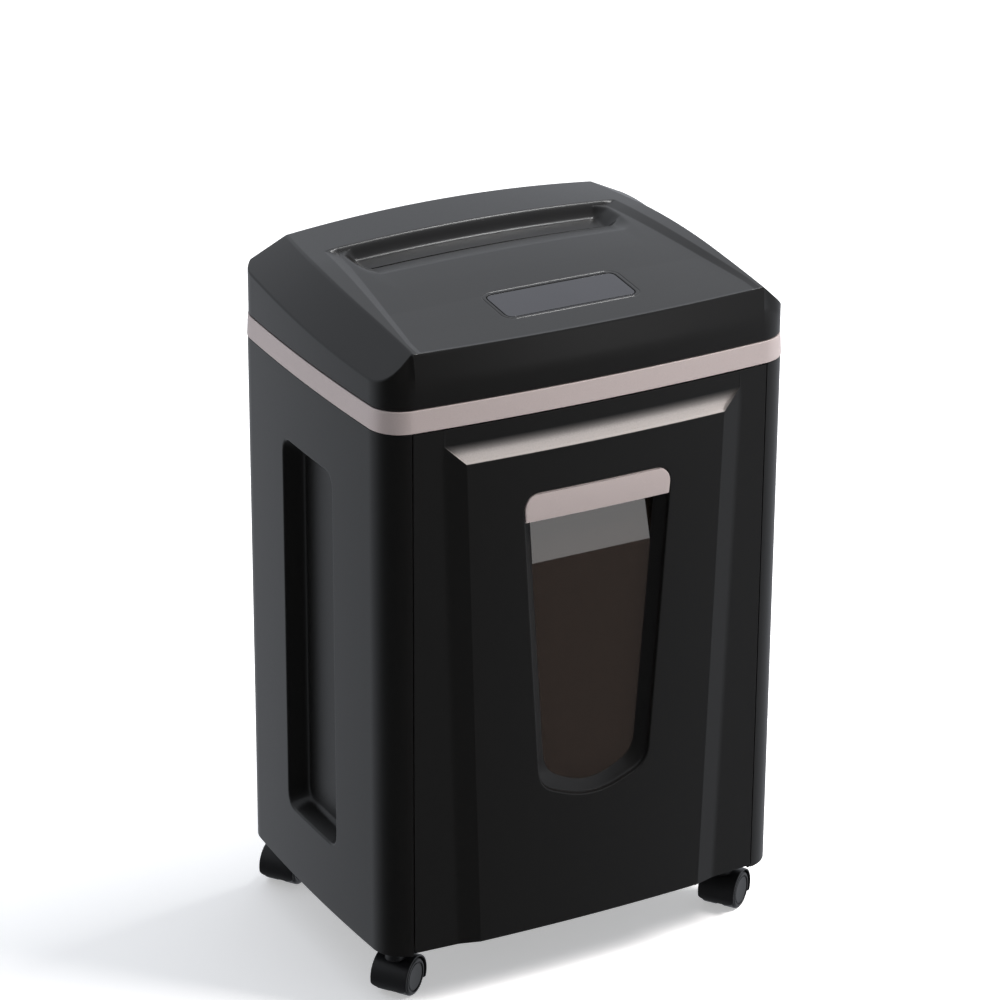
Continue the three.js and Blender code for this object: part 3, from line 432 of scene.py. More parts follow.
def side_panel():
    """The right side: its outline carried up in z, and rings of points that lead from the flat of the
    side to the mouth of the grip, down its sloped walls and over its floor to a line in the middle."""
    middle = np.linspace(-RING_Y, RING_Y, 41)
    low_rows, high_rows = edge_rows(BODY_Z, BAND_Z - PLAY)
    heights = np.linspace(RING_LOW, RING_HIGH, 61)

    def grid(rows):
        return np.stack([at_height(side_columns(inset, middle), z) for z, inset in rows])

    low = grid([*low_rows, (BODY_Z + 12, 0), (RING_LOW, 0)])
    high = grid([(RING_HIGH, 0), (BAND_Z - 12, 0), *high_rows])
    belt = grid([(z, 0) for z in heights])
    first = (belt.shape[1] - len(middle)) // 2
    front, rear = belt[:, :first + 1], belt[:, first + len(middle) - 1:]
    outer = np.concatenate([
        low[-1, first:first + len(middle) - 1], rear[:-1, 0],
        high[0, first + len(middle) - 1:first:-1], front[:0:-1, -1]])
    counts = (len(middle) - 1, len(heights) - 1) * 2

    def mouth(inset, x=None):
        g = GRIP
        corners = [(g["front"] + inset, g["low"] + inset), (g["rear"] - inset, g["low"] + inset),
                   (g["rear"] - inset, g["high"] - inset), (g["front"] + inset, g["high"] - inset)]
        yz = rounded_polygon(corners, [g["r"]] * 4, (0, 1, 2, 3), counts)
        xs = side_x(yz[:, 0]) if x is None else np.full(len(yz), x)
        return np.concatenate([xs[:, None], yz], 1)

    floor_x = HALF_X - 1 - GRIP["depth"]
    rim = lines_between(outer, mouth(-3.0), 12)
    rim[..., 0] = side_x(rim[..., 1])
    floor = mouth(GRIP["slope"], floor_x)
    spine = floor.copy()
    spine[:, 1] = (GRIP["front"] + GRIP["rear"]) / 2
    reach = (GRIP["rear"] - GRIP["front"]) / 2
    spine[:, 2] = np.clip(spine[:, 2], GRIP["low"] + reach, GRIP["high"] - reach)
    inner = floor + (spine - floor) * 0.2
    walls = np.stack([rim[-1], mouth(0), floor, inner], 1)
    walls = np.swapaxes(round_corners(walls, [GRIP_RIM, GRIP_FLOOR], 6), 0, 1)
    bottom = lines_between(inner, spine, 5)
    return open_sheets(low, high, front, rear) + closed_sheets(rim, walls, bottom)


def rear_panel():
    """The rear face between the two seams: columns in x on the bowed face, rows in z, and open cells
    where the mains inlet and the rocker switch stand."""
    holes = []
    for node in ("mains_inlet", "switch_bezel"):
        low, high = edges_mm(node)
        holes.append((low[0] - PLAY, high[0] + PLAY, low[2] - PLAY, high[2] + PLAY))

    def cut(ends, step):
        """Values between the ends and the holes' edges, about a step apart."""
        knots = sorted(ends)
        return spread(knots, [max(1, int((b - a) / step) - 1) for a, b in zip(knots, knots[1:])])

    xs = cut({-DOOR_X, DOOR_X, *(edge for hole in holes for edge in hole[:2])}, 8)
    zs = cut({BODY_Z + 2, BAND_Z - 3, *(edge for hole in holes for edge in hole[2:])}, 12)
    low_rows, high_rows = edge_rows(BODY_Z, BAND_Z - PLAY)
    rows = np.array([*low_rows, *((z, 0) for z in zs), *high_rows])
    cols = np.array([(-DOOR_X, PANEL_TURN), *((x, 0) for x in xs), (DOOR_X, PANEL_TURN)])
    x, z = np.meshgrid(cols[:, 0], rows[:, 0])
    back = np.maximum(*np.meshgrid(cols[:, 1], rows[:, 1]))
    grid = np.stack([x, face_y(x) - back, z], -1)
    mid_x, mid_z = (x[1:, 1:] + x[:-1, :-1]) / 2, (z[1:, 1:] + z[:-1, :-1]) / 2
    keep = np.ones(mid_x.shape, bool)
    for x0, x1, z0, z1 in holes:
        keep &= ~((mid_x > x0) & (mid_x < x1) & (mid_z > z0) & (mid_z < z1))
    return [sheet(grid, keep=keep)]


# ---- silver band ----

def trim_band():
    """The band's closed section, flared out at its foot, carried round the plan of the body."""
    low, high, flare, wall = BAND_LOW[2], BAND_HIGH[2], 0.5, 4.0
    section = np.array([(-wall, low + 4), (-wall, low), (flare, low), (-flare, high), (-wall, high),
                        (-wall, low + 4)])
    section = round_corners(section, [0.3, 0.7, 0.9, 0.3], 4)[:-1]
    rows = [at_height(plan_loop(-out), z) for out, z in section]
    return [sheet(np.stack(rows), close_rows=True, close_cols=True)]


# ---- top cover ----

COVER_INSET = 1.0  # how far the cover's walls stand inside the body's face
DECK_FRONT, DECK_REAR, DECK_CREST = -138.2, 128.0, 56.0
DECK_HALF, DECK_TAPER, TAPER_FROM = 161.0, 16.0, -50.0
RAMPS_FROM = -138.0  # the widths and heights below grow evenly from here
CREST = {"height": 79.5, "climb": 14.5, "run": 194.0, "power": 1.6, "fall": 0.5, "crown": 8.0}
BEVEL_DROP = {"foot": 36.5, "rise": 0.077, "rear": 22 / 18}
RAIL = {"half": 160.0, "taper": 0.106, "gap": 3.6, "width": 4.0, "widening": 0.034}
RIM = 2.2  # width of the strip that turns over the deck's rim
DECK_BOW = 6.0  # how far the deck's front edge falls back at its ends
DECK_ROWS = np.array([  # y, and how far the middle is sunk below the deck's arch
    (DECK_FRONT, 0.8), (-102, 1.8), (-60, 2.8), (-20, 3.0), (13, 3.4), (36, 8.5), (42, 14),
    (48, 14), (57, 13), (66, 12), (72, 0), (100, 0), (DECK_REAR, 0)])
FIELD_DEPTH = 3.0  # what is sunk deeper than this belongs to the throat
SLOT = {"half": 112.0, "front": 42.0, "rear": 48.0, "depth": 24.0}
SLOT_Y = (SLOT["front"] + SLOT["rear"]) / 2
THROAT_END, THROAT_RUN = 113.0, 12.0  # where the throat's ends start to climb, and over what length
TOUCH_LOW, TOUCH_HIGH = edges_mm("control_panel")
TOUCH_GROOVE = 4.0  # how far outside the touch panel its frame line runs
TOUCH_CORNER = 6.0


def edge_height(y):
    """The deck's side edge above the band: it climbs to the crest and falls a little behind it."""
    y = np.clip(y, DECK_FRONT, DECK_REAR)
    before = CREST["climb"] * np.maximum((DECK_CREST - y) / CREST["run"], 0) ** CREST["power"]
    behind = CREST["fall"] * np.maximum((y - DECK_CREST) / (DECK_REAR - DECK_CREST), 0) ** 2
    return CREST["height"] - np.where(y < DECK_CREST, before, behind)


def edge_half(y):
    """Half-width of the deck: even in front, and drawn in by a parabola behind."""
    behind = (np.minimum(y, DECK_REAR) - TAPER_FROM) / (DECK_REAR - TAPER_FROM)
    return DECK_HALF - DECK_TAPER * np.maximum(0, behind) ** 2


def rail_half(y):
    """Distance of a rail's upper line from the middle: it closes in evenly, inside the deck's edge."""
    return np.minimum(RAIL["half"] - RAIL["taper"] * (y - RAMPS_FROM), edge_half(y) - RAIL["gap"])


def rail_width(y):
    """Width of the slope between a rail and the sunk field."""
    return RAIL["width"] + RAIL["widening"] * (y - RAMPS_FROM)


def cover_height(x, y):
    """Height of the cover: the crowned deck, the bevels outside its side edges, and the rear bevel."""
    edge = edge_half(y)
    along = np.clip((y - RAMPS_FROM) / (DECK_REAR - RAMPS_FROM), 0, 1)
    crown = CREST["crown"] * along * (1 - np.minimum(1, (x / edge) ** 2))
    foot = BEVEL_DROP["foot"] + BEVEL_DROP["rise"] * (np.minimum(y, DECK_REAR) - RAMPS_FROM)
    slope = (edge_height(y) - foot) / (HALF_X - COVER_INSET - edge)
    rear = np.maximum(y - DECK_REAR, 0) * BEVEL_DROP["rear"]
    return BAND_Z + edge_height(y) + crown - np.maximum(np.abs(x) - edge, 0) * slope - rear


def touch_outline(x, y):
    """Distance outside the touch panel's rounded outline, negative inside."""
    cx, cy = (TOUCH_HIGH[0] + TOUCH_LOW[0]) / 2, (TOUCH_HIGH[1] + TOUCH_LOW[1]) / 2
    hx, hy, r = (TOUCH_HIGH[0] - TOUCH_LOW[0]) / 2, (TOUCH_HIGH[1] - TOUCH_LOW[1]) / 2, TOUCH_CORNER
    dx, dy = np.abs(x - cx) - hx + r, np.abs(y - cy) - hy + r
    return np.hypot(np.maximum(dx, 0), np.maximum(dy, 0)) + np.minimum(np.maximum(dx, dy), 0) - r


def sunk(x, y):
    """How far the deck lies below its own arch: the field between the rails, and the feed throat."""
    def depth(at):
        return soft_line(at, DECK_ROWS[:, 0], DECK_ROWS[:, 1], 2.4)

    shallow = np.minimum(depth(y), FIELD_DEPTH)
    foot = rail_half(y) - rail_width(y)
    past_end = (np.abs(x) - THROAT_END) / THROAT_RUN
    narrowed = SLOT_Y + (y - SLOT_Y) * (1 + 0.4 * np.clip(past_end, 0, 1) ** 2)
    ends = soft_line(past_end, [0, 1], [1, 0], 0.15)
    facet = soft_line((np.abs(x) - foot) / rail_width(y), [0, 1], [1, 0], 0.09)
    return np.maximum(depth(narrowed) - shallow, 0) * ends + shallow * facet


def deck_grid():
    """The deck's points. Rows run in y; columns follow the slot's ends, the facets and the rails."""
    start = DECK_FRONT + RIM
    ty0, ty1 = TOUCH_LOW[1], TOUCH_HIGH[1]
    rows = spread([start, ty0 - 5.5, ty0 - 2.5, ty0 - 1.6, ty0 + 1.6, ty0 + 7, ty1 - 7, ty1 - 1.6, ty1 + 1.6,
                   ty1 + 2.5, ty1 + 5.5, -20, 10, 16, 33, 40, SLOT["front"], SLOT["rear"], 50, 62, 68, 73, 77,
                   100, DECK_REAR - RIM],
                  [11, 8, 1, 8, 6, 8, 6, 8, 1, 8, 8, 8, 8, 8, 8, 4, 2, 4, 8, 6, 8, 8, 8, 8])
    tx = TOUCH_HIGH[0]
    half = []
    for y in rows:
        rail = rail_half(y)
        foot = rail - rail_width(y)
        half.append(spread([0, tx - 7, tx - 1.6, tx + 1.6, tx + 2.5, tx + 5.5, 108, SLOT["half"],
                            min(THROAT_END + THROAT_RUN, foot - 3), foot - 1, foot + 1.2, rail - 0.9,
                            rail + 0.7, edge_half(y) - RIM],
                           [10, 5, 8, 1, 8, 8, 4, 14, 5, 4, 5, 6, 2]))
    half = np.array(half)
    x = np.concatenate([-half[:, :0:-1], half], 1)
    fade = np.maximum(0, 1 - (rows[:, None] - start) / 34)
    y = rows[:, None] + DECK_BOW * (x / half[0, -1]) ** 2 * fade
    z = cover_height(x, y) - sunk(x, y)
    outside = touch_outline(x, y)
    pocket = soft_line(outside, [0.3, 0.9], [1.9, 0], 0.25)
    pocket += 0.35 * np.maximum(0, 1 - np.abs(outside - TOUCH_GROOVE) / 0.8)
    return np.stack([x, y, z - pocket], -1), rows


def top_cover():
    """The cover: a deck of rows and columns, and round it lines that climb the side walls, cross the
    bevel and reach the deck's rim. Every line takes its height from cover_height."""
    deck, rows = deck_grid()
    first_y = DECK_FRONT + DECK_BOW
    y_side = first_y + (rows - rows[0]) * (DECK_REAR - first_y) / (rows[-1] - rows[0])
    radius = CORNER - COVER_INSET
    angle = np.clip((-ARC_Y - y_side) / (-ARC_Y - y_side[0]), 0, 1) * math.pi / 2
    on_arc = np.stack([ARC_X + radius * np.cos(angle), -ARC_Y - radius * np.sin(angle)], 1)
    on_side = np.stack([side_x(y_side, COVER_INSET), y_side], 1)
    wall = np.where((y_side < -ARC_Y)[:, None], on_arc, on_side)
    rim = np.stack([edge_half(y_side), y_side], 1)

    corner_d = rim[-1]
    first = math.asin((corner_d[1] - ARC_Y) / radius)
    turn = np.linspace(first, math.pi / 2, 13)[1:]
    bend = np.stack([ARC_X + radius * np.cos(turn), ARC_Y + radius * np.sin(turn)], 1)
    rest = np.linspace(ARC_X, corner_d[0], 5)[1:-1]
    bend = np.concatenate([bend, np.stack([rest, face_y(rest, COVER_INSET)], 1)])

    rear_x = deck[-1, ::-1, 0] * corner_d[0] / deck[-1, -1, 0]
    front_x = deck[0, 1:-1, 0] / deck[0, -1, 0]
    front_wall = np.stack([front_x * ARC_X, -face_y(front_x * ARC_X, COVER_INSET)], 1)
    front_rim = np.stack([front_x * DECK_HALF, DECK_FRONT + DECK_BOW * front_x ** 2], 1)

    def flip(a):
        return a[::-1] * (-1, 1)

    rear = np.stack([rear_x, face_y(rear_x, COVER_INSET)], 1)
    walls = np.concatenate([front_wall, wall, bend, rear, flip(bend), flip(wall)])
    n = len(bend)
    rims = np.concatenate([front_rim, rim, np.repeat(corner_d[None], n, 0),
                           np.stack([rear_x, np.full_like(rear_x, DECK_REAR)], 1),
                           np.repeat(corner_d[None] * (-1, 1), n, 0), flip(rim)])
    inner = np.concatenate([deck[0, 1:-1], deck[:, -1], np.repeat(deck[-1, -1][None], n, 0),
                            deck[-1, ::-1], np.repeat(deck[-1, 0][None], n, 0), deck[::-1, 0]])

    front = slice(0, len(front_wall))
    lean = np.zeros(len(walls))         # round the front corners the bevel runs out towards the rim
    lean[len(front_wall):len(front_wall) + len(wall)] = 0.98 * np.sin(angle) ** 12
    lean[-len(wall):] = 0.98 * np.sin(angle[::-1]) ** 12
    leaning = walls + (rims - walls) * lean[:, None]
    crest = at_height(rims, cover_height(rims[:, 0], rims[:, 1]))
    upper = at_height(leaning, cover_height(leaning[:, 0], leaning[:, 1]))
    lift = np.concatenate([crest[front, 2], upper[len(front_wall):, 2]])
    middle = at_height(walls, COVER_Z + 0.4 * (lift - COVER_Z))
    share = 0.5 + 0.48 * np.abs(front_x[:, None]) ** 6
    upper[front] = middle[front] + (crest[front] - middle[front]) * share
    foot = walls * (1 - 1.0 / np.linalg.norm(walls, axis=1, keepdims=True))
    lines = np.stack([at_height(foot, COVER_Z), at_height(walls, COVER_Z + 0.9), middle, upper, crest,
                      inner], 1)
    lines = round_corners(lines, [0.4, 10, 1.6, 2.8], 5)

    mid_x, mid_y = (deck[1:, 1:, 0] + deck[:-1, :-1, 0]) / 2, (deck[1:, 1:, 1] + deck[:-1, :-1, 1]) / 2
    in_slot = (np.abs(mid_x) < SLOT["half"]) & (mid_y > SLOT["front"]) & (mid_y < SLOT["rear"])
    r0, r1 = (int(np.argmin(np.abs(rows - SLOT[edge]))) for edge in ("front", "rear"))
    c0, c1 = np.where(np.abs(deck[r0, :, 0]) < SLOT["half"] + 0.01)[0][[0, -1]]
    loop = np.concatenate([deck[r0, c0:c1], deck[r0:r1, c1], deck[r1, c1:c0:-1], deck[r1:r0:-1, c0]])
    foot = loop.copy()
    foot[:, 2] = loop[:, 2].min() - SLOT["depth"] / 2
    return [sheet(deck, keep=~in_slot)] + closed_sheets(np.swapaxes(lines, 0, 1), np.stack([loop, foot]))


def rounded_rows(low, high, half, radius, steps, ends=(True, True)):
    """(t, half-width) rows of a plate between low and high whose corners are rounded: near a rounded
    end the half-width shrinks as a quarter circle does."""
    turn = np.radians(np.linspace(0, 90, 9))
    start = low + radius * (1 - np.cos(turn)) if ends[0] else np.array([low])
    end = (high - radius * (1 - np.cos(turn)))[::-1] if ends[1] else np.array([high])
    t = np.concatenate([start, np.linspace(start[-1], end[0], steps + 1)[1:-1], end])
    shrink = np.zeros_like(t)
    if ends[0]:
        shrink[:9] = radius * (1 - np.sin(turn))
    if ends[1]:
        shrink[-9:] = (radius * (1 - np.sin(turn)))[::-1]
    return t, half(t) - shrink


def across(t, half, columns):
    """Two grids: x from -half to half in even columns, and t, which is one value for each row."""
    x = np.linspace(-1, 1, columns) * half[:, None]
    return x, t[:, None] + np.zeros_like(x)


def touch_panel():
    """The glossy inlay: rows in y on the deck's own surface, a quarter of a millimetre below it."""
    y, half = rounded_rows(TOUCH_LOW[1], TOUCH_HIGH[1], lambda t: np.full_like(t, TOUCH_HIGH[0]),
                           TOUCH_CORNER, 8)
    x, y = across(y, half, 41)
    return open_sheets(np.stack([x, y, cover_height(x, y) - sunk(x, y) - 0.25], -1))


# ---- door, window, handle ----

FIELD_HALF, BEVEL = 119.4, 18.0  # half-width of the raised field at its lip, width of its bevels
LIP_Z = BAND_Z - 32
SCOOP_RISE, SCOOP_SPREAD = 16.5, 17.4  # height of the scoop, and how far its ends run outwards
SCOOP = np.array([  # height above the lip, and how far the surface stands out there
    (-9, RAISE), (0, RAISE), (0.8, 1.6), (3.5, -0.4), (8, -1.4), (12.5, -1), (SCOOP_RISE, 0), (30, 0)])
SILVER_AND_PAINTED_SHADE = np.array([  # height above the lip, and how much silver shows there: real silver at the lip, and above it a fade to black that is painted shade
    (-0.15, 0), (0.1, 1), (5, 1), (7.5, 0.75), (10, 0.42), (12.5, 0.2), (15, 0.06), (17, 0)])
WINDOW = {"top": BAND_Z - 68, "low": BAND_Z - 337, "foot": BAND_Z - 357.4, "top_half": 69.0,
          "low_half": 51.5}
GLASS = {"depth": 10.5, "back": 25.0, "knee": BAND_Z - 136, "inset": 10.0, "thick": 2.5}
HANDLE_Z = BAND_Z - 93


def raised_half(z):
    """Half-width of the raised field; above its lip, the scoop's ends run outwards."""
    up = z - LIP_Z
    return FIELD_HALF + np.where(up <= 0, 0.0316 * up, SCOOP_SPREAD * np.clip(up / SCOOP_RISE, 0, 1))


def raised_out(z):
    return soft_line(z - LIP_Z, SCOOP[:, 0], SCOOP[:, 1], 0.35)


def door_bow(x):
    return -HALF_Y + BOW_FRONT * (x / ARC_X) ** 2


def door_columns(z, back, steps):
    """One row of the door: turned edge, flank, bevel and raised field, mirrored about the middle."""
    half = float(raised_half(z))
    foot = (half if z <= LIP_Z else FIELD_HALF) + BEVEL
    out = float(raised_out(z))
    ramp = RAISE * (foot - half) / BEVEL
    side = np.array([(DOOR_X, 0, PANEL_TURN), (DOOR_X, 0, 0), (foot, 0, 0), (half, ramp, 0),
                     (half - 0.7, min(out, ramp), 0), (half - 4, out, 0)])
    side = round_corners(side[None], [EDGE, 3.0, 0.5, 0.4], 5)[0]
    middle = np.linspace(-(half - 4), half - 4, steps + 1)[1:-1]
    middle = np.stack([middle, np.full_like(middle, out), np.zeros_like(middle)], 1)
    row = np.concatenate([side * (-1, 1, 1), middle, side[::-1]])
    return np.stack([row[:, 0], door_bow(row[:, 0]) - row[:, 1] + np.maximum(row[:, 2], back),
                     np.full(len(row), z)], 1), len(side)


def window_half(z):
    """Half-width of the window, which narrows evenly downwards."""
    share = np.clip((WINDOW["top"] - z) / (WINDOW["top"] - WINDOW["low"]), 0, 1)
    return WINDOW["top_half"] + (WINDOW["low_half"] - WINDOW["top_half"]) * share


def window_mouth(inset, counts):
    """The window's outline: tapering sides, round upper corners and a foot that bows down."""
    w = WINDOW
    top, low = w["top_half"] - inset, w["low_half"] - inset
    corners = [(-low, w["low"] + inset), (0, w["foot"] + inset), (low, w["low"] + inset),
               (top, w["top"] - inset), (-top, w["top"] - inset)]
    return rounded_polygon(corners, [16, 60, 16, 17, 17], (0, 2, 3, 4), counts)


def door_panel():
    """The door: rows that carry the raised field, its bevels and the concave scoop above it, and rings
    of points from the field to the mouth of the window and down its sloped walls to the glass."""
    steps = 60
    low, high = DOOR_LOW[2], DOOR_HIGH[2]
    low_rows, high_rows = edge_rows(low, high)
    base = LIP_Z - 4
    up = (0, 2, 3, 3.4, 3.7, 4, 4.2, 4.4, 4.6, 4.8, 5.1, 5.5, 6.2, 7, 8, 9.2, 10.5, 12, 13.5, 15, 16.5,
          18, 19, 20, 20.5, 21.2, 23, 27)
    belt_z = np.linspace(low + 8, base, 81)

    def grid(rows):
        return np.stack([door_columns(z, back, steps)[0] for z, back in rows])

    bottom = grid([*low_rows, (low + 3, 0), (low + 8, 0)])
    top = grid([*((base + u, 0) for u in up), *high_rows])
    belt = grid([(z, 0) for z in belt_z])
    n = door_columns(base, 0, steps)[1]
    left, right = belt[:, :n], belt[:, -n:]
    outer = np.concatenate([bottom[-1, n - 1:-n], right[:-1, 0], top[0, -n:n - 1:-1], left[:0:-1, -1]])
    counts = (steps, len(belt_z) - 1) * 2

    def ring(inset, depth):
        xz = window_mouth(inset, counts)
        return np.stack([xz[:, 0], door_bow(xz[:, 0]) - RAISE + depth, xz[:, 1]], 1)

    glass_y = -HALF_Y - RAISE + GLASS["depth"]
    deep = ring(GLASS["inset"], 0)
    deep[:, 1] = glass_y + 0.5
    rim = lines_between(outer, ring(-3, 0), 20)
    rim[..., 1] = door_bow(rim[..., 0]) - RAISE
    walls = np.stack([rim[-1], ring(0, 0), ring(0.4, 4.0), deep], 1)
    walls = np.swapaxes(round_corners(walls, [1.3, 2.0], 6), 0, 1)
    return open_sheets(bottom, top, left, right) + closed_sheets(rim, walls)


def spray_silver_and_paint_shade(mesh):
    """Writes how much silver lies on each point of the door: full at the lip, none at the top
    of the scoop, and none outside the scoop's ends. The fade between is painted shade of the scoop."""
    points = np.zeros(len(mesh.vertices) * 3)
    mesh.vertices.foreach_get("co", points)
    x, _, z = (points.reshape(-1, 3) / MM).T
    # full silver at the lip is real; the fade to black above it is painted shade of the scoop
    upwards = np.interp(z - LIP_Z, SILVER_AND_PAINTED_SHADE[:, 0], SILVER_AND_PAINTED_SHADE[:, 1])
    across = np.clip((raised_half(z) + 0.4 - np.abs(x)) / 0.8, 0, 1)
    mesh.attributes.new("lacquer", "FLOAT", "POINT").data.foreach_set("value", upwards * across)


def handle_plate():
    """The silver pull: rows in z on the bow of the raised field, its upper corners quarter circles."""
    z, half = rounded_rows(HANDLE_Z, WINDOW["top"] - 0.5, lambda t: window_half(t) - 0.6, 14.0, 10,
                           (False, True))
    x, z = across(z, half, 49)
    swell = 0.7 * (1 - ((z - HANDLE_Z - 12) / 14) ** 2)
    return open_sheets(np.stack([x, door_bow(x) - RAISE - 0.1 - swell, z], -1))


def window_lens():
    """The smoked window: upright below its knee, leaning back above it to leave room for fingers."""
    z = np.linspace(WINDOW["foot"] - 2, WINDOW["top"] + 3, 60)
    z = np.sort(np.append(z, GLASS["knee"] + np.array([-2.4, -1.6, -0.8, 0, 0.8, 1.6, 2.4])))
    x, z = across(z, window_half(z) + 2, 25)
    y = soft_line(z, [GLASS["knee"], WINDOW["top"]], [GLASS["depth"], GLASS["back"]], 0.9)
    return open_sheets(np.stack([x, y - HALF_Y - RAISE, z], -1))


# ---- casters ----

CASTER = {"x": 161.0, "front": -95.0, "rear": 124.0, "radius": 17.0, "half": 17.0, "trail": 6.0,
          "hood": 19.6, "inner": 17.9, "web": 2.6, "stem": 4.0}
CASTERS = ("front_left", "front_right", "rear_right", "rear_left")
CASTER_TURN = math.radians(-54.9)


def lathe(profile, sides):
    """(along, radius) points turned about the X axis; a profile that starts and ends on it is closed."""
    turn = np.linspace(0, 2 * math.pi, sides, endpoint=False)[None, :]
    along, radius = profile[:, :1], profile[:, 1:]
    return np.stack([along + 0 * turn, radius * np.cos(turn), radius * np.sin(turn)], -1)


def set_caster(parts, where):
    """Moves sheets from the caster's own frame (axle along X, wheel at trail) to its place."""
    x = CASTER["x"] * (1 if "right" in where else -1)
    y = CASTER["rear" if "rear" in where else "front"]
    c, s = math.cos(CASTER_TURN), math.sin(CASTER_TURN)
    turn = np.array([[c, s, 0], [-s, c, 0], [0, 0, 1]])
    return [(points @ turn + (x, y, 0), quads) for points, quads in parts]


def caster_wheel(side):
    """A wheel turned from its section: flat tread with round shoulders, a rim, a groove and a dished
    disc."""
    near, far, r = CASTER["web"] + 0.5, CASTER["half"] - 0.4, CASTER["radius"]
    section = np.array([
        (near, 3.2), (near, r - 0.6), (near + 1, r), (far - 1.6, r), (far, r - 2.2), (far, r - 3.6),
        (far - 1.1, r - 4.0), (far - 1.1, r - 4.9), (far - 0.3, r - 5.3), (far - 0.8, 0.0)])
    section = round_corners(section, [0.4, 0.8, 1.4, 0.5, 0.3, 0.2, 0.3, 0.8], 3)
    return closed_sheets(lathe(section, 64) * (side, 1, 1) + (0, CASTER["trail"], r))


def caster_hood():
    """The hood: a rounded strip section carried round the wheels from the front to the rear, with a
    web between the wheels, and the stem and its collar on top."""
    r0, r1, half, r = CASTER["inner"], CASTER["hood"], CASTER["half"], CASTER["radius"]
    section = np.array([(0, r0), (half, r0), (half, r1), (-half, r1), (-half, r0), (0, r0)])
    section = round_corners(section, [0.6, 1.2, 1.2, 0.6], 4)[:-1]
    turn = np.radians(np.linspace(-35, 205, 49))[:, None]
    end = np.abs(np.linspace(-1, 1, 49))[:, None]
    narrow = np.where(end > 0.9, np.sqrt(1 - 0.6 * np.maximum((end - 0.9) / 0.1, 0) ** 2), 1)
    width, reach = section[:, 0], section[:, 1]
    hood = np.stack([width * narrow, CASTER["trail"] + reach * np.cos(turn), r + reach * np.sin(turn)], -1)
    caps = [np.stack([rim, rim.mean(0) + 0 * rim]) for rim in (hood[0], hood[-1])]
    turn = np.radians(np.linspace(-20, 200, 33))
    x, reach = np.array([(1, 0), (1, 1), (-1, 1), (-1, 0)]).T[:, :, None] * [[[CASTER["web"]]], [[r0 + 0.6]]]
    web = np.stack([x + 0 * turn, CASTER["trail"] + reach * np.cos(turn), r + reach * np.sin(turn)], -1)
    stem = round_corners(np.array([(33, 0), (33, CASTER["stem"]), (62, CASTER["stem"]), (63, 0)]), [1, 1], 3)
    collar = round_corners(np.array([(34, 0), (35, 9), (39.5, 8), (44.3, 4.2), (44.4, 0)]), [1, 2, 1], 4)
    upright = [np.roll(lathe(stem, 24), -1, -1), np.roll(lathe(collar, 32), -1, -1)]
    return closed_sheets(hood, *caps) + open_sheets(web) + closed_sheets(*upright)


# ---- what a user may change ----

def colour_property(name, description, colour):
    return bpy.props.FloatVectorProperty(
        name=name, description=description, subtype="COLOR", size=3, min=0, max=1, default=linear(colour))


def number_property(name, description, default, low, high, **kind):
    return bpy.props.FloatProperty(
        name=name, description=description, default=default, min=low, max=high, **kind)


class ShredderColours(bpy.types.PropertyGroup):
    plastic: colour_property("Plastic", "Moulded plastic of the shells", 0x0E0D0C)
    silver: colour_property("Silver", "Lacquer of the band and the pull", 0xC9BCB9)
    # the silver at the scoop's lip is real; its fade to black up the scoop is painted shade
    sprayed: colour_property("Sprayed silver", "Lacquer that thins out over the door's scoop", 0x97928F)
    smoke: colour_property("Smoke", "Tint of the window", 0x302823)


class ShredderSizes(bpy.types.PropertyGroup):
    wall: number_property("Wall", "Thickness of the moulded shells, in millimetres", 2.6, 1, 4)
    plate: number_property("Plate", "Thickness of the silver pull, in millimetres", 3.0, 1, 4)


class ShredderLight(bpy.types.PropertyGroup):
    sky: number_property("Sky", "Brightness of the studio above the floor", 1.1, 0, 5)
    key: number_property("Key light", "Power of the large lamp", 134, 0, 1000, unit="POWER")
    floor: number_property("Floor light", "How brightly the white floor glows", 0.4, 0, 2)


FINISHES = {}


def finishes():
    """Every finish by the frame's slot name, made once."""
    if not FINISHES:
        own = bpy.context.scene.shredder_colours
        FINISHES.update({
            "black_abs": moulded_plastic("grained_black_abs", own.plastic, 0.34),
            "dark_abs": moulded_plastic("plain_dark_abs", linear(0x232325), 0.5),
            "caster_nylon": moulded_plastic("caster_nylon", linear(0x121214), 0.38, grain_height=0.008),
            "silver_paint": silver_lacquer("silver_lacquer", own.silver),
            "panel_gloss": moulded_plastic("gloss_touch_film", linear(0x27272B), 0.12, grain_height=0.002),
            "smoked_lens": smoked_polycarbonate("smoked_polycarbonate", own.smoke),
            "steel": worked_metal("zinc_plated_steel", linear(0xA7AAAE), 0.34, 3.0),
            "hardened_steel": worked_metal("ground_cutter_steel", linear(0x7C8084), 0.3, 0.7,
                                           (1, 0.08, 0.08)),
            "motor_steel": worked_metal("painted_motor_can", linear(0x2A2A2C), 0.45, 1.2),
            "natural_nylon": moulded_plastic("natural_nylon", linear(0xD9D4C4), 0.45, shift=0.04),
            "circuit_board": circuit_board("solder_resist_board", linear(0x1D5A35)),
            "bronze": worked_metal("sintered_bronze", linear(0x9C7A3E), 0.42, 0.8),
        })
    return FINISHES


# ---- operators ----

class ShredderOperator:
    bl_options = {"REGISTER", "UNDO"}


class SHREDDER_OT_side_panels(ShredderOperator, bpy.types.Operator):
    """Adds the two moulded side panels with their grips"""
    bl_idname = "shredder.side_panels"
    bl_label = "Side panels"

    def execute(self, context):
        right = side_panel()
        for side, parts in (("right", right), ("left", [mirrored(p) for p in right])):
            piece(f"{side}_side_shell", parts, "cabinet", "black_abs", [f"{side}_side_panel"],
                  wall=context.scene.shredder_sizes.wall)
        return {"FINISHED"}


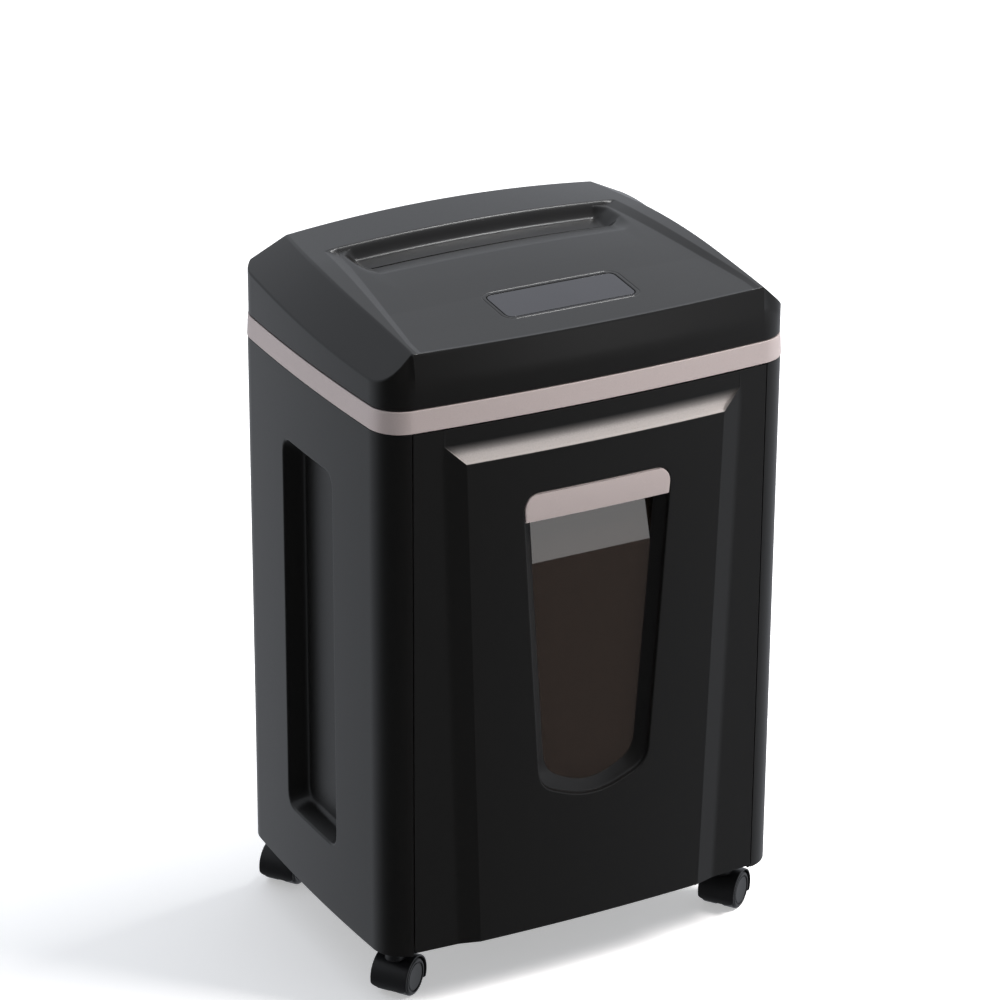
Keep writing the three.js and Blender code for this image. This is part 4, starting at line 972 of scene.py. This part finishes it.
class SHREDDER_OT_rear_panel(ShredderOperator, bpy.types.Operator):
    """Adds the rear panel round the mains inlet and the switch"""
    bl_idname = "shredder.rear_panel"
    bl_label = "Rear panel"

    def execute(self, context):
        piece("rear_shell", rear_panel(), "cabinet", "black_abs", ["rear_panel"],
              wall=context.scene.shredder_sizes.wall)
        return {"FINISHED"}


class SHREDDER_OT_trim_band(ShredderOperator, bpy.types.Operator):
    """Adds the silver band round the body"""
    bl_idname = "shredder.trim_band"
    bl_label = "Silver band"

    def execute(self, context):
        piece("silver_band", trim_band(), "cabinet", "silver_paint", ["trim_band"])
        return {"FINISHED"}


class SHREDDER_OT_top_cover(ShredderOperator, bpy.types.Operator):
    """Adds the arched top cover with its feed throat, and the touch panel set into it"""
    bl_idname = "shredder.top_cover"
    bl_label = "Top cover"

    def execute(self, context):
        piece("cover_shell", top_cover(), "cabinet", "black_abs", ["top_cover"],
              wall=context.scene.shredder_sizes.wall, away=UNDER_COVER, sharp=28)
        piece("touch_panel", touch_panel(), "cabinet", "panel_gloss", ["control_panel"],
              wall=1.5, bevel=0.3, away=UNDER_COVER)
        return {"FINISHED"}


class SHREDDER_OT_door(ShredderOperator, bpy.types.Operator):
    """Adds the door with its silver scoop, the pull and the smoked window"""
    bl_idname = "shredder.door"
    bl_label = "Door"

    def execute(self, context):
        sizes, own = context.scene.shredder_sizes, context.scene.shredder_colours
        # the door's scoop fades from real silver at its lip into painted shade above it
        door = piece("door_shell", door_panel(), "drawer", "black_abs", ["door_panel"], wall=sizes.wall,
                     finish=silver_lacquer("silver_lacquer_fading_into_painted_shade", own.sprayed, own.plastic))
        spray_silver_and_paint_shade(door.data)
        piece("silver_pull", handle_plate(), "drawer", "silver_paint", ["handle_plate"],
              wall=sizes.plate, bevel=0.8)
        piece("smoked_window", window_lens(), "drawer", "smoked_lens", ["window_lens"],
              wall=GLASS["thick"], bevel=0.2)
        return {"FINISHED"}


class SHREDDER_OT_casters(ShredderOperator, bpy.types.Operator):
    """Adds the four twin-wheel swivel casters"""
    bl_idname = "shredder.casters"
    bl_label = "Casters"

    def execute(self, context):
        for where in CASTERS:
            piece(f"{where}_hood", set_caster(caster_hood(), where), f"{where}_caster", "caster_nylon",
                  [f"{where}_caster_fork"])
            for side, name in ((1, "outer"), (-1, "inner")):
                piece(f"{where}_{name}_roller", set_caster(caster_wheel(side), where), f"{where}_wheels",
                      "caster_nylon", [f"{where}_caster_{name}_wheel"])
        return {"FINISHED"}


class SHREDDER_OT_inner_finishes(ShredderOperator, bpy.types.Operator):
    """Gives every node of the frame the finish of its material slot"""
    bl_idname = "shredder.inner_finishes"
    bl_label = "Finishes of the frame"

    def execute(self, context):
        for row in frame["record"]["subparts"]:
            mesh = frame["nodes"][row["node"]].data
            mesh.materials.clear()
            mesh.materials.append(finishes()[row["material_slot"]])
        return {"FINISHED"}


def area_light(name, place, target, size, power, colour):
    lamp = bpy.data.lights.new(name, "AREA")
    lamp.energy, lamp.size, lamp.color = power, size, colour
    obj = add_object(name, lamp)
    obj.location = place
    obj.rotation_euler = (Vector(target) - Vector(place)).to_track_quat("-Z", "Y").to_euler()
    return obj


STUDIO_RISE = (0.462, 0.793, 0.396)  # the studio brightens in this direction, by the levels below
STUDIO_LEVELS = ((0.10, 0.03), (0.21, 0.08), (0.40, 0.42), (0.64, 0.50), (1.0, 0.72))
STUDIO_TINT = (0.94, 0.98, 1.05)
LAMPS = (  # name, place, aim, size, share of the key's power, colour
    ("key", (1.6, -1.2, 2.6), (0, 0, 0.3), 1.2, 1.0, (1.0, 0.96, 0.94)),
    ("overhead", (0.96, 0.09, 2.5), (0, -0.1, 0.55), 0.5, 0.16, (1, 1, 1)),
    ("low_front", (1.15, -2.3, 0.42), (0, 0, 0.42), 0.42, 0.009, (1, 1, 1)))
CAMERA = {"azimuth": -28.506, "elevation": 23.695, "roll": 0.32, "lens": 148.5,
          "place": (-1.5320, -2.8003, 1.7871)}


class SHREDDER_OT_stage(ShredderOperator, bpy.types.Operator):
    """Sets the pale floor, the soft studio light and the camera"""
    bl_idname = "shredder.stage"
    bl_label = "Stage"

    def execute(self, context):
        scene = context.scene
        light = scene.shredder_light
        mesh = bpy.data.meshes.new("studio_floor")
        reach = 12.0
        corners = ((-reach, -reach, 0), (reach, -reach, 0), (reach, reach, 0), (-reach, reach, 0))
        mesh.from_pydata(corners, [], [(0, 1, 2, 3)])
        floor = add_object("studio_floor", mesh)
        white, tree, _ = start_material("matte_white_floor")
        shader = put(tree, "BsdfPrincipled", {
            "Base Color": (0.93, 0.93, 0.93, 1), "Roughness": 1.0, "Specular IOR Level": 0.0,
            "Emission Color": (1, 1, 1, 1), "Emission Strength": light.floor})
        put(tree, "OutputMaterial", {"Surface": shader.outputs[0]})
        mesh.materials.append(white)
        floor.visible_glossy = False
        scene.view_settings.view_transform = "Standard"

        world = bpy.data.worlds.new("studio")
        scene.world = world
        world.use_nodes = True
        tree = world.node_tree
        tree.nodes.clear()
        way = put(tree, "TexCoord", {}).outputs["Generated"]
        bright = put(tree, "VectorMath", {0: way, 1: STUDIO_RISE}, operation="DOT_PRODUCT")
        share = put(tree, "MapRange", {"Value": bright.outputs["Value"], "From Min": -1.0})
        ramp = put(tree, "ValToRGB", {"Fac": share.outputs[0]})
        stops = ramp.color_ramp.elements
        for place, level in STUDIO_LEVELS[1:-1]:
            stops.new(place)
        for stop, (place, level) in zip(stops, STUDIO_LEVELS):
            stop.position, stop.color = place, (*(level * part for part in STUDIO_TINT), 1)
        back = put(tree, "Background", {"Color": ramp.outputs[0], "Strength": light.sky})
        put(tree, "OutputWorld", {"Surface": back.outputs[0]})

        for name, place, aim, size, share, colour in LAMPS:
            lamp = area_light(name, place, aim, size, light.key * share, colour)
            lamp.visible_glossy = name != "key"
        self.camera(scene)
        return {"FINISHED"}

    def camera(self, scene):
        """A long lens from the front left, level but for a third of a degree."""
        azimuth, elevation, roll = (math.radians(CAMERA[k]) for k in ("azimuth", "elevation", "roll"))
        back = Vector((math.sin(azimuth) * math.cos(elevation), -math.cos(azimuth) * math.cos(elevation),
                       math.sin(elevation)))
        right = Vector((math.cos(azimuth), math.sin(azimuth), 0))
        up = back.cross(right)
        c, s = math.cos(roll), math.sin(roll)
        right, up = right * c + up * s, up * c - right * s
        data = bpy.data.cameras.new("camera")
        data.lens, data.sensor_width = CAMERA["lens"], 36.0
        data.clip_start, data.clip_end = 0.1, 60
        turn = Matrix((right, up, back)).transposed().to_4x4()
        scene.camera = add_object("camera", data)
        scene.camera.matrix_world = Matrix.Translation(CAMERA["place"]) @ turn


class SHREDDER_PT_panel(bpy.types.Panel):
    """The shredder's pieces, sizes and light"""
    bl_idname = "SHREDDER_PT_panel"
    bl_label = "Paper shredder"
    bl_space_type = "VIEW_3D"
    bl_region_type = "UI"
    bl_category = "Shredder"

    def draw(self, context):
        scene = context.scene
        for group in (scene.shredder_sizes, scene.shredder_colours, scene.shredder_light):
            for name in group.__annotations__:
                self.layout.prop(group, name)
        for operator in OPERATORS:
            self.layout.operator(operator.bl_idname)


OPERATORS = (SHREDDER_OT_inner_finishes, SHREDDER_OT_side_panels, SHREDDER_OT_rear_panel,
             SHREDDER_OT_trim_band, SHREDDER_OT_top_cover, SHREDDER_OT_door, SHREDDER_OT_casters,
             SHREDDER_OT_stage)
CLASSES = (ShredderSizes, ShredderColours, ShredderLight, *OPERATORS, SHREDDER_PT_panel)


def register():
    for cls in CLASSES:
        bpy.utils.register_class(cls)
    bpy.types.Scene.shredder_sizes = bpy.props.PointerProperty(type=ShredderSizes)
    bpy.types.Scene.shredder_colours = bpy.props.PointerProperty(type=ShredderColours)
    bpy.types.Scene.shredder_light = bpy.props.PointerProperty(type=ShredderLight)


def unregister():
    del bpy.types.Scene.shredder_sizes, bpy.types.Scene.shredder_colours, bpy.types.Scene.shredder_light
    for cls in reversed(CLASSES):
        bpy.utils.unregister_class(cls)


def main():
    register()
    for operator in OPERATORS:
        getattr(bpy.ops.shredder, operator.bl_idname.split(".")[1])()


if __name__ == "__main__":
    main()
